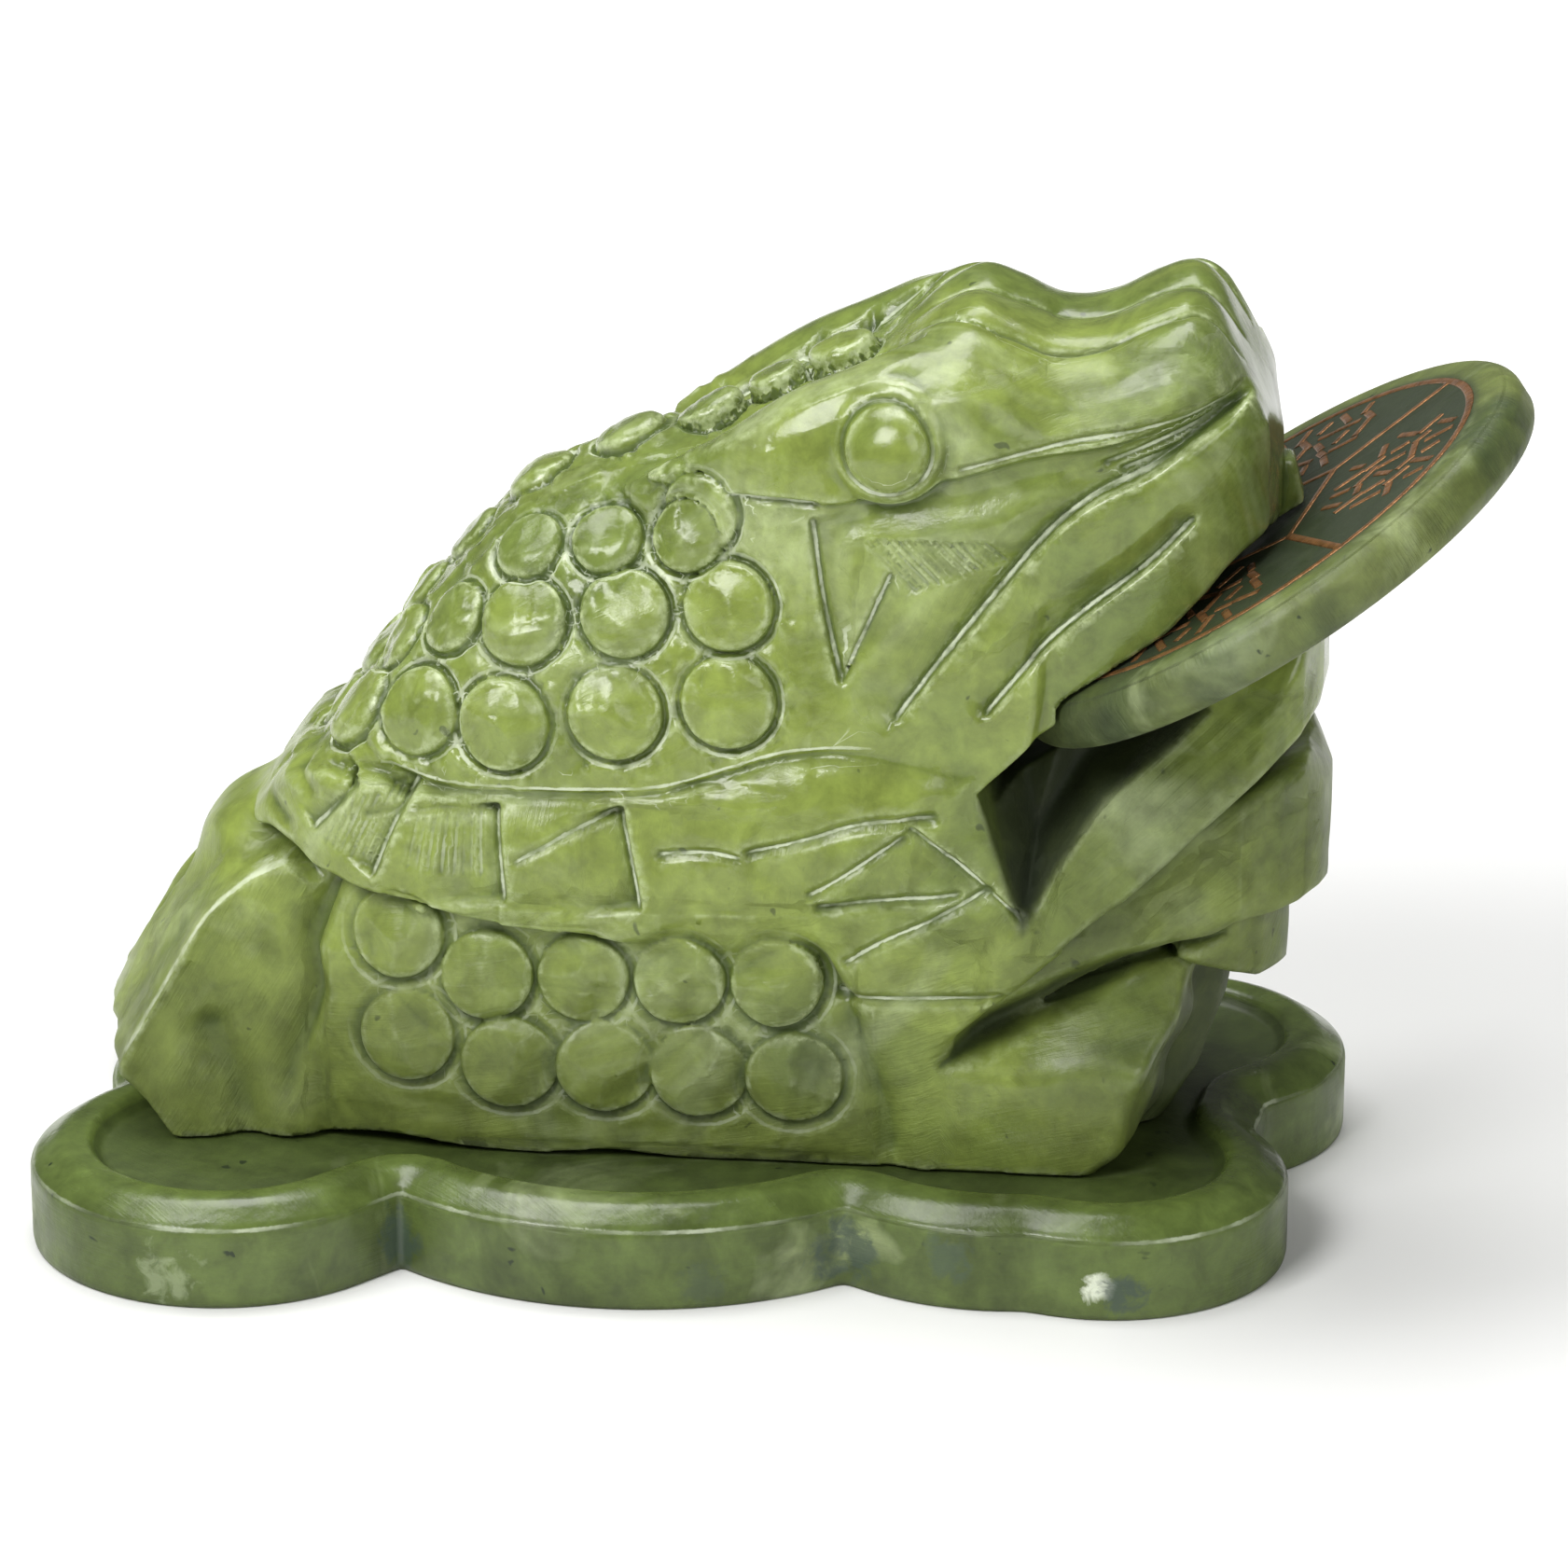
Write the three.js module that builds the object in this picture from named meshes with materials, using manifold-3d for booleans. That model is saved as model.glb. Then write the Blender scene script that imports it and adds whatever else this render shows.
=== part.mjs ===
// A money toad figure in three pieces of stone: a toad carved from one block, the lobed base it rests on,
// and the coin held in its mouth.
// Millimetres. X runs forward through the nose, Y to the toad's left, Z up.
// The origin is in the underside of the base, below the middle of the toad.

import * as THREE from 'three';
import Module from 'manifold-3d';

const wasm = await Module();
wasm.setup();

// Toad: its carving is drawn at the drawn length and scaled to the length wanted.
const toadLength = 113;
const drawnLength = 113;

// Base: a slab with a rounded rim around a shallow tray. The tray's lobed outline goes around the toad.
const baseHeight = 9.5;
const trayDepth = 1.5;
const rimWidth = 6.6;
const rimRise = 2;
const baseFoot = 0.6;
const outlineSteps = 92;
const notchBlend = 0.6;
const turnWeight = 5;

// Coin: a disc with a rounded rim that leans up and forward out of the mouth.
const coinDiameter = 54;
const coinThickness = 5.2;
const coinRim = 1.3;
const coinTilt = THREE.MathUtils.degToRad(34.25);
const coinSteps = 40;
const rimSteps = 3;

// Clearances where the toad stands on the base and holds the coin.
const restGap = 0.3;
const coinGap = 0.3;
const seatRelief = 0.15;

// Faceting of the carved surface.
const cellSize = 1.2;
const toadTriangles = 7900;
const evenness = 0.0004;

// The toad's drawing: its underside, and where the coin's rear edge is held in the mouth.
const drawnFloor = 8.3;
const mouthCorner = { x: 26.28, z: 48.5 };

const toadScale = toadLength / drawnLength;
const toadFloor = baseHeight - trayDepth + restGap;

// The coin's place in the toad's drawing.
const coinDrawn = {
  x: mouthCorner.x + coinDiameter / 2 / toadScale * Math.cos(coinTilt),
  z: mouthCorner.z + coinDiameter / 2 / toadScale * Math.sin(coinTilt),
  thickness: coinThickness / toadScale,
  gap: (coinGap + seatRelief) / toadScale,
};

// From the toad's drawing to its place on the base.
function placed([x, y, z]) {
  return [x * toadScale, y * toadScale, toadFloor + (z - drawnFloor) * toadScale];
}

// Helpers for blending solids given as signed distances, negative inside.

function clamp(value, low, high) {
  return Math.min(Math.max(value, low), high);
}

function join(a, b, blend) {
  const h = clamp(0.5 + 0.5 * (b - a) / blend, 0, 1);
  return b + (a - b) * h - blend * h * (1 - h);
}

function cut(a, b, blend) {
  return -join(-a, b, blend);
}

function common(a, b, blend) {
  return -join(-a, -b, blend);
}

function ramp(value, width) {
  const t = clamp(value / width, 0, 1);
  return t * t * (3 - 2 * t);
}

// Straight lines through a table of [place, value] pairs.
function lines(value, table) {
  if (value <= table[0][0]) return table[0][1];
  for (let i = 1; i < table.length; i += 1) {
    if (value < table[i][0]) {
      const t = (value - table[i - 1][0]) / (table[i][0] - table[i - 1][0]);
      return table[i - 1][1] + (table[i][1] - table[i - 1][1]) * t;
    }
  }
  return table[table.length - 1][1];
}

// A smooth curve through a table of [place, value] pairs.
function curve(value, table) {
  const last = table.length - 1;
  let i = 0;
  while (i < last - 1 && value > table[i + 1][0]) i += 1;
  const tangent = (j) => {
    const before = Math.max(j - 1, 0);
    const after = Math.min(j + 1, last);
    return (table[after][1] - table[before][1]) / (table[after][0] - table[before][0]);
  };
  const span = table[i + 1][0] - table[i][0];
  const u = clamp((value - table[i][0]) / span, 0, 1);
  const u2 = u * u;
  const u3 = u2 * u;
  return (2 * u3 - 3 * u2 + 1) * table[i][1] + (u3 - 2 * u2 + u) * span * tangent(i)
    + (3 * u2 - 2 * u3) * table[i + 1][1] + (u3 - u2) * span * tangent(i + 1);
}

// Signed distance to a closed outline.
function outline(u, v, points) {
  let nearest = Infinity;
  let sign = 1;
  for (let i = 0; i < points.length; i += 1) {
    const a = points[i];
    const b = points[(i + points.length - 1) % points.length];
    const eu = b[0] - a[0];
    const ev = b[1] - a[1];
    const wu = u - a[0];
    const wv = v - a[1];
    const t = clamp((wu * eu + wv * ev) / (eu * eu + ev * ev), 0, 1);
    nearest = Math.min(nearest, (wu - eu * t) ** 2 + (wv - ev * t) ** 2);
    const above = v >= a[1];
    const below = v < b[1];
    const left = eu * wv > ev * wu;
    if ((above && below && left) || (!above && !below && !left)) sign = -sign;
  }
  return sign * Math.sqrt(nearest);
}

// Distance to an open line.
function trace(u, v, points) {
  let nearest = Infinity;
  for (let i = 1; i < points.length; i += 1) {
    const a = points[i - 1];
    const eu = points[i][0] - a[0];
    const ev = points[i][1] - a[1];
    const t = clamp(((u - a[0]) * eu + (v - a[1]) * ev) / (eu * eu + ev * ev), 0, 1);
    nearest = Math.min(nearest, (u - a[0] - eu * t) ** 2 + (v - a[1] - ev * t) ** 2);
  }
  return Math.sqrt(nearest);
}

// A side view shape given a width, with rounded edges.
function slab(side, width, radius) {
  const a = side + radius;
  const b = width + radius;
  return Math.min(Math.max(a, b), 0) + Math.hypot(Math.max(a, 0), Math.max(b, 0)) - radius;
}

// Distance from a flat face through a point.
function face(x, y, z, normal, point) {
  const length = Math.hypot(...normal);
  return ((x - point[0]) * normal[0] + (y - point[1]) * normal[1] + (z - point[2]) * normal[2]) / length;
}

// Profiles of the toad. Side view outlines are [x, z], plans are [x, half width].
const ridge = [
  [-56, 18], [-50, 25.5], [-46.3, 31], [-39, 39.8], [-31.9, 49.2], [-27.4, 55.6], [-19.1, 65],
  [-10.1, 70], [-2.5, 72.8], [6.8, 76.8], [16, 80.8], [24, 84], [60, 84],
];
const crown = [
  [-20, 62], [-10, 67], [-2, 71.6], [6.8, 77.2], [15, 81.2], [20, 84.6], [23.5, 86.2], [27, 85.2],
  [31, 83.8], [35, 84.2], [39, 86], [42.5, 87], [45.3, 85.8], [48, 82.5], [60, 70],
];
const snoutSide = [
  [-60, 17.4], [-42, 17.6], [-30, 17.8], [-20, 17.4], [-12, 17], [-8, 16.4], [-4.5, 14.6], [-1.5, 11.4],
  [0, 9], [3, 0],
];
const browSide = [
  [-60, 17.4], [-42, 17.6], [-30, 17.8], [-20, 17.6], [-10, 17.2], [-6, 16.8], [-2, 15.4], [0, 14.2],
  [0.5, 13.2], [3, 6],
];
const headOutline = [
  [9, 44.3], [25, 44.3], [49.6, 68.2], [50.4, 71], [50, 76], [48.4, 83], [47.6, 92], [-14, 92], [-10, 70],
  [2, 62],
];
const headPlan = [
  [-12, 8.5], [-2, 12], [6, 16.2], [14, 18], [22, 18.4], [36, 17.4], [43.5, 15.4], [47.6, 11.2],
  [49.2, 5.5], [49.5, 0], [49.5, -5], [-12, -5],
];
const mouthOutline = [[25.2, 44.4], [29, 33.6], [80, 33.6], [80, 91], [49.6, 68.2]];
const skirtTop = [
  [-46, 40], [-37.4, 42.4], [-28.9, 43.2], [-22.2, 42.4], [-15.5, 42.4], [-3.7, 43], [3, 45],
  [8.8, 46.8], [17.1, 47.2], [25.4, 45.4], [40, 41],
];
const skirtLow = [
  [-46, 42], [-37.2, 38], [-34.7, 35.6], [-30.5, 34.1], [-26.3, 33], [-17.1, 31.4], [-8.6, 30.8],
  [-3.6, 30.6], [4, 31], [12, 32], [40, 35],
];
const haunchOutline = [[-37, 6], [22, 6], [22, 33], [25, 46], [-38, 40]];
const haunchWidth = [[0, 19], [8.3, 19.4], [14, 20], [20, 20.3], [27, 19.8], [34, 18.8], [60, 17.5]];
const legOutline = [
  [-3, 44], [-1, 39.5], [4.7, 38.4], [9.7, 31.9], [13.1, 25.7], [15.2, 20.4], [17.2, 14.1], [18.2, 6],
  [34, 6], [33, 17.5], [24, 19], [23.5, 21], [33, 29], [29.2, 34], [25, 44.5], [10, 46],
];
const legWidth = [[8, 19.6], [20, 20.7], [32, 21.4], [40, 21], [46, 19], [50, 18]];
const jawStart = [22.7, 20.8];
const jawEnd = [55.6, 49.5];
const jawOutline = [[20, 18.4], [55, 49], [55.8, 51], [55.8, 80], [29.3, 80], [27, 45], [20, 33]];
const jawPlan = [
  [0, 20.6], [24, 20.4], [30, 19.8], [40, 17.8], [49, 14.8], [53.6, 10], [55.3, 5], [55.7, 0], [55.7, -5],
  [0, -5],
];
const jawWidth = [[0, 20.6], [24, 20.4], [30, 19.8], [40, 17.8], [49, 15], [60, 14]];
const jawSlope = [[27, 0.06], [33, 0.42], [40, 0.66], [56, 0.74]];
const throatRolls = [
  { side: [[48, 30.5], [56.6, 31], [56.8, 41.5], [54, 45], [20, 30], [20, 14]], front: 56.6, half: 15.6 },
  { side: [[47, 22], [53, 22.8], [53.2, 29], [50, 32], [20, 32], [20, 12]], front: 53, half: 14.6 },
];
const chestOutline = [[20, 6], [42.5, 6], [49, 16], [50.6, 22.5], [20, 30]];
const chestPlan = [
  [0, 12], [36, 12], [42, 10], [46.5, 7.2], [49.6, 3.6], [50.4, 0], [50.4, -5], [0, -5],
];

// The humped back, widest at the skirt and closing towards the tail.
const shellFoot = 42;
const shellHalf = 19.4;
const shellTurn = -12;
const shellReach = 29;

function shell(x, y, z) {
  const turn = Math.min(x - shellTurn, 0) / shellReach;
  const half = shellHalf * Math.sqrt(clamp(1 - turn * turn, 0.06, 1));
  const rise = Math.max(curve(x, ridge) - shellFoot, 1);
  const up = Math.max(z - shellFoot, 0);
  const k0 = Math.hypot(y / half, up / rise) + 1e-9;
  const k1 = Math.hypot(y / half ** 2, up / rise ** 2) + 1e-9;
  let d = 0.9 * k0 * (k0 - 1) / k1;
  d = common(d, face(x, y, z, [-0.8, 0, 0.6], [-38.6, 0, 40]), 3);
  d = common(d, x - 30, 1);
  return Math.max(d, 30 - z);
}

// The folded band below the back, which hangs over the haunch.
function skirt(x, y, z) {
  const top = curve(x, skirtTop);
  const low = curve(x, skirtLow);
  const t = clamp((top - z) / 9, 0, 1);
  const half = 18.6 + 3.1 * Math.sqrt(t * (2 - t)) - 16 * clamp((-24 - x) / 20, 0, 1) ** 2;
  let d = common(0.9 * (y - half), 0.95 * (z - top), 0.8);
  d = common(d, 0.95 * (low - z), 0.6);
  d = common(d, face(x, y, z, [1, 0.25, -0.75], [14, 20, 33]), 2.5);
  d = common(d, x - 27, 1.5);
  return common(d, face(x, y, z, [-0.8, 0, 0.6], [-39.6, 0, 40]), 2);
}

function haunch(x, y, z) {
  const behind = clamp((-24 - x) / 12, 0, 1);
  const shoulder = ramp(x + 14, 12) * ramp(z - 26.5, 5);
  const half = lines(z, haunchWidth) - 3 * behind * behind + 1.7 * shoulder;
  return slab(outline(x, z, haunchOutline), y - half, 1.5);
}

function frontLeg(x, y, z) {
  const half = lines(z, legWidth) - 0.022 * clamp(x - 13, 0, 30) ** 1.6;
  return slab(outline(x, z, legOutline), y - half, 1.4);
}

// The front foot: an upright side, a top that climbs inwards, and toes cut off square.
function frontFoot(x, y, z) {
  const inward = clamp(19.6 - y, -5, 12);
  const top = 18.4 + 0.95 * inward + 0.5 * Math.cos(0.42 * (x - 22)) + clamp((24 - x) / 4, 0, 1);
  let d = common(y - 19.6, 0.72 * (z - Math.min(top, 26.5)), 1.2);
  d = common(d, 0.9 * (x - 38 - 0.45 * inward), 0.8);
  return common(d, 19 - x, 1.5);
}

// The hind foot: a faceted block with one sharp ridge.
const hindRidge = [-43.4, 14.8, 31.8];
const hindFaces = [
  { normal: [0.1, 1, 0.17], point: hindRidge, blend: 0.4 },
  { normal: [-0.85, 0.28, 0.546], point: hindRidge, blend: 0.4 },
  { normal: [-0.55, 0.15, 0.8], point: hindRidge, blend: 0.8 },
  { normal: [-0.93, 0, 0.37], point: [-59, 8, 20], blend: 0.8 },
  { normal: [-0.78, 0.1, -0.63], point: [-52.2, 15, 12.2], blend: 0.8 },
  { normal: [1, 0.25, 0], point: [-33.8, 18, 20], blend: 1 },
  { normal: [0, -1, 0], point: [0, 2, 0], blend: 1.5 },
];

function hindFoot(x, y, z) {
  return hindFaces.reduce(
    (d, { normal, point, blend }) => common(d, face(x, y, z, normal, point), blend),
    -50,
  );
}

function tail(x, y, z) {
  return 7.5 * (Math.hypot((x + 41) / 7.5, y / 10, (z - 29.5) / 7.5) - 1);
}

// The head: flanks that follow the crown, narrowed in plan to the nose.
function head(x, y, z) {
  const over = z - curve(x, crown);
  const brow = ramp(28 - x, 7);
  const half = (1 - brow) * lines(over, snoutSide) + brow * lines(over, browSide);
  let d = common(0.75 * (y - half), 0.9 * over, 1.2);
  d = common(d, outline(x, y, headPlan), 1.5);
  return slab(outline(x, z, headOutline), d, 1.2);
}

// Distance above the plane on which the coin lies.
function aboveSeat(x, z) {
  const across = (z - coinDrawn.z) * Math.cos(coinTilt) - (x - coinDrawn.x) * Math.sin(coinTilt);
  return across + coinDrawn.thickness + coinDrawn.gap;
}

// The lower jaw: a bar rising forward from the foreleg, its sides leaning in to the seat of the coin.
function jaw(x, y, z) {
  const run = Math.hypot(jawEnd[0] - jawStart[0], jawEnd[1] - jawStart[1]);
  const alongX = (jawEnd[0] - jawStart[0]) / run;
  const alongZ = (jawEnd[1] - jawStart[1]) / run;
  const height = (z - jawStart[1]) * alongX - (x - jawStart[0]) * alongZ;
  let half = lines(x, jawWidth) - lines(x, jawSlope) * clamp(height, -3, 30);
  if (height > 6.5) half = Math.min(half, 19.5 - 0.7 * (height - 6.5));
  const wide = common(0.82 * (y - half), outline(x, y, jawPlan), 1);
  return common(slab(outline(x, z, jawOutline), wide, 0.7), aboveSeat(x, z), 0.5);
}

// The throat: two rolls over a narrower chest.
function throat(x, y, z) {
  const chest = slab(outline(x, z, chestOutline), outline(x, y, chestPlan), 1.2);
  return throatRolls.reduce((d, { side, front, half }) => {
    const plan = [
      [0, half + 2], [30, half], [front - 8, half - 2.5], [front - 2, half - 7], [front, 0], [front, -5],
      [0, -5],
    ];
    return join(d, slab(outline(x, z, side), outline(x, y, plan), 1.6), 0.5);
  }, chest);
}

// All masses of the toad, without the relief, for y from the middle outwards.
function masses(x, y, z) {
  let d = shell(x, y, z);
  d = join(d, skirt(x, y, z), 0.6);
  d = join(d, haunch(x, y, z), 0.6);
  d = join(d, frontLeg(x, y, z), 1);
  d = join(d, hindFoot(x, y, z), 0.8);
  d = join(d, tail(x, y, z), 1.5);
  d = join(d, head(x, y, z), 1.2);
  d = cut(d, outline(x, z, mouthOutline), 0.5);
  d = join(d, jaw(x, y, z), 0.8);
  d = join(d, throat(x, y, z), 0.6);
  return join(d, frontFoot(x, y, z), 0.6);
}

// Relief on the head, drawn in the side view.
const browBand = [
  [-6, 70.2], [-4.2, 71.5], [-1.7, 74.3], [4.1, 78.4], [10.7, 81.2], [16.4, 84], [30, 90], [52, 90],
  [50, 80.6], [42.3, 78], [35.5, 75.9], [29, 74.8], [22.5, 72.6], [17, 70.4], [12.7, 70.6], [7.7, 69.9],
  [4.5, 70.5], [0, 69.4],
];
const lip = [
  [51.5, 82.2], [46.7, 79.9], [42.8, 75.9], [35.6, 70.9], [29.9, 65.9], [25.1, 58.9], [21.8, 54.9],
  [17, 51], [22, 44], [26, 42], [56, 66], [55, 82],
];
const cheekHollow = [[14, 69], [22, 71.2], [30, 73], [38, 74.8], [45, 79.6]];
const lipCrease = [[43.1, 68.7], [39.7, 66.2], [36.5, 62.6], [31.7, 57.7], [26, 52.2]];
const cordEdge = [[14, 2.5], [18, 6], [23, 9.2], [30, 9.6], [42, 9], [47, 6.5], [50, 3]];
const eye = { x: 17.2, z: 75.4, radius: 4.1, height: 2.3, groove: 0.9 };

// Round bosses in rows, from a first to a last place, as [x, half width, z]. Their height is a share of
// their radius.
const bossHeight = 0.33;
const bossRows = [
  { first: [-27, 19, 29.2], last: [-27, 19, 29.2], count: 1, radius: 4.3 },
  { first: [-18.8, 20, 25.7], last: [7.4, 20, 26.1], count: 4, radius: 4.2 },
  { first: [-26.2, 20, 19.6], last: [-26.2, 20, 19.6], count: 1, radius: 4.4 },
  { first: [-16.8, 20, 17.4], last: [9, 20, 17], count: 4, radius: 4.5 },
  { first: [3, 18.5, 52.1], last: [-17.2, 18.3, 49.2], count: 3, radius: 4.3 },
  { first: [2.8, 16.3, 60.3], last: [-15.8, 15.2, 57.9], count: 3, radius: 4.1 },
  { first: [-25.3, 15.6, 49.3], last: [-31.4, 9.8, 47.4], count: 2, radius: 4.1 },
  { first: [-22.7, 11.9, 57], last: [-28.8, 6, 54.5], count: 2, radius: 3.7 },
  { first: [-1, 13.2, 65.7], last: [-15.9, 10.7, 63.6], count: 3, radius: 3.3 },
  { first: [6.3, 2.6, 77], last: [-7.5, 4.4, 70.8], count: 3, radius: 3.1 },
  { first: [-15.2, 5, 67.1], last: [-22.4, 4.6, 61], count: 2, radius: 3.4 },
  { first: [-35.2, 4, 44.2], last: [-35.2, 4, 44.2], count: 1, radius: 3.4 },
];

function slope(field, p, value, step) {
  const [x, y, z] = p;
  return [
    (field(x + step, y, z) - value) / step,
    (field(x, y + step, z) - value) / step,
    (field(x, y, z + step) - value) / step,
  ];
}

function direction(v) {
  const size = Math.hypot(...v) + 1e-12;
  return v.map((part) => part / size);
}

// Moves a point on to a surface, and gives the way out of the surface there.
function settle(field, start, rounds, reach) {
  let place = [...start];
  let way = [0, 0, 1];
  for (let i = 0; i < rounds; i += 1) {
    const value = field(...place);
    way = slope(field, place, value, 0.03);
    const size = Math.max(way[0] ** 2 + way[1] ** 2 + way[2] ** 2, 0.2);
    const shift = clamp(value / size, -reach, reach);
    place = place.map((v, axis) => v - way[axis] * shift);
  }
  return { place, out: direction(way) };
}

function makeBosses() {
  const bosses = [];
  for (const { first, last, count, radius } of bossRows) {
    for (let i = 0; i < count; i += 1) {
      const t = count > 1 ? i / (count - 1) : 0;
      const start = first.map((v, axis) => v + (last[axis] - v) * t);
      bosses.push({ ...settle(masses, start, 12, 2), radius });
    }
  }
  return bosses;
}

const bosses = makeBosses();

// Height of the relief over the masses.
function relief(x, y, z) {
  const flank = ramp(y - 8.5, 2.5);
  let up = 0.75 * ramp(0.2 - outline(x, z, browBand), 1.1) * ramp(x + 8, 4) * flank;
  up += 0.8 * ramp(0.2 - outline(x, z, lip), 1.6) * flank * ramp(z - 40, 3) * ramp(x - 14, 3);
  up -= 0.7 * (1 - ramp(trace(x, z, cheekHollow), 3.2)) * flank;
  up -= 0.55 * (1 - ramp(trace(x, z, lipCrease), 1.2)) * flank;

  // Rounded cords along the top of the snout.
  const onSnout = ramp(x - 15, 5) * ramp(z - curve(x, crown) + 6, 3);
  const edge = lines(x, cordEdge);
  const u = y / edge;
  const hollow = u < 1 ? (2 * u - 1) ** 2 : clamp(1 - (y - edge) / 2.2, 0, 1) ** 1.5;
  up += (0.35 - hollow) * onSnout;

  // The dip between the brows.
  up -= 0.9 * (1 - ramp(y - 8.5, 3)) * (1 - ramp(x - 14, 7)) * ramp(x + 6, 8) * ramp(z - 66, 4);

  const fromEye = Math.hypot(x - eye.x, z - eye.z);
  up -= eye.groove * Math.exp(-(((fromEye - eye.radius - 0.9) / 0.75) ** 2)) * flank;
  if (fromEye < eye.radius) up += eye.height * Math.sqrt(1 - (fromEye / eye.radius) ** 2) * flank;

  for (const { place, out, radius } of bosses) {
    const e = [x - place[0], y - place[1], z - place[2]];
    const far = e[0] ** 2 + e[1] ** 2 + e[2] ** 2;
    if (far < (radius + 3) ** 2) {
      const h = e[0] * out[0] + e[1] * out[1] + e[2] * out[2];
      const share = Math.sqrt(Math.max(far - h * h, 0)) / radius;
      if (share < 1 && Math.abs(h) < 3) up += bossHeight * radius * ramp(1 - share, 0.6);
    }
  }
  return up;
}

// The carved toad before it is cut to its coin and its base. It reaches below the base's tray.
function toadField(x, side, z) {
  const y = Math.abs(side);
  let d = masses(x, y, z);
  if (Math.abs(d) < 4) d -= relief(x, y, z);
  return Math.max(d, drawnFloor - 1.5 - z);
}

// Each cell of the grid is split into six four-cornered pieces. Each is a walk over the cell's corners,
// which are numbered by adding 1 for X, 2 for Y and 4 for Z.
const walks = [[0, 1, 3, 7], [0, 2, 6, 7], [0, 4, 5, 7], [1, 0, 5, 7], [4, 0, 6, 7], [2, 0, 3, 7]];

// For the corners of a piece that are inside, added up as 1, 2, 4 and 8, an order that puts those first.
const orders = {
  1: [0, 1, 2, 3],
  2: [1, 0, 3, 2],
  4: [2, 3, 0, 1],
  8: [3, 2, 1, 0],
  3: [0, 1, 2, 3],
  5: [0, 2, 3, 1],
  9: [0, 3, 1, 2],
  6: [1, 2, 0, 3],
  10: [1, 3, 2, 0],
  12: [2, 3, 0, 1],
};

// Turns a field that is even in y into a closed mesh.
function mesh(field, low, high, size) {
  const counts = low.map((v, axis) => 2 * Math.ceil((high[axis] - v) / size / 2) + 1);
  const [nx, ny, nz] = counts;
  const middle = (ny - 1) / 2;
  const at = (i, j, k) => (i * ny + j) * nz + k;
  const placeOf = (id) => [
    low[0] + Math.floor(id / (ny * nz)) * size,
    (Math.floor(id / nz) % ny - middle) * size,
    low[2] + (id % nz) * size,
  ];
  const values = new Float64Array(nx * ny * nz);
  for (let i = 0; i < nx; i += 1) {
    for (let j = 0; j <= middle; j += 1) {
      for (let k = 0; k < nz; k += 1) {
        const value = field(low[0] + i * size, (j - middle) * size, low[2] + k * size);
        values[at(i, j, k)] = value;
        values[at(i, ny - 1 - j, k)] = value;
      }
    }
  }
  const corners = [0, 1, 2, 3, 4, 5, 6, 7].map((c) => at(c & 1, (c >> 1) & 1, c >> 2));
  const ids = new Map();
  const points = [];
  const crossing = (a, b) => {
    const key = Math.min(a, b) * values.length + Math.max(a, b);
    if (!ids.has(key)) {
      const p = placeOf(a);
      const q = placeOf(b);
      const t = clamp(values[a] / (values[a] - values[b]), 0.02, 0.98);
      ids.set(key, points.push(p.map((v, axis) => v + (q[axis] - v) * t)) - 1);
    }
    return ids.get(key);
  };
  const triangles = [];
  for (let i = 0; i < nx - 1; i += 1) {
    for (let j = 0; j < ny - 1; j += 1) {
      for (let k = 0; k < nz - 1; k += 1) {
        const cell = at(i, j, k);
        const inside = corners.filter((c) => values[cell + c] < 0).length;
        if (inside > 0 && inside < 8) {
          for (const walk of walks) {
            const four = walk.map((c) => cell + corners[c]);
            const mask = four.reduce((sum, id, n) => sum + (values[id] < 0 ? 1 << n : 0), 0);
            if (mask in orders) {
              const [p, q, r, s] = orders[mask].map((n) => four[n]);
              if ((mask & (mask - 1)) === 0) {
                triangles.push([crossing(p, q), crossing(p, r), crossing(p, s)]);
              } else {
                triangles.push([crossing(p, r), crossing(p, s), crossing(q, s)]);
                triangles.push([crossing(p, r), crossing(q, s), crossing(q, r)]);
              }
            } else if (mask > 0 && mask < 15) {
              const [p, q, r, s] = orders[15 - mask].map((n) => four[n]);
              triangles.push([crossing(p, q), crossing(p, s), crossing(p, r)]);
            }
          }
        }
      }
    }
  }
  return { points, triangles };
}

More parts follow.
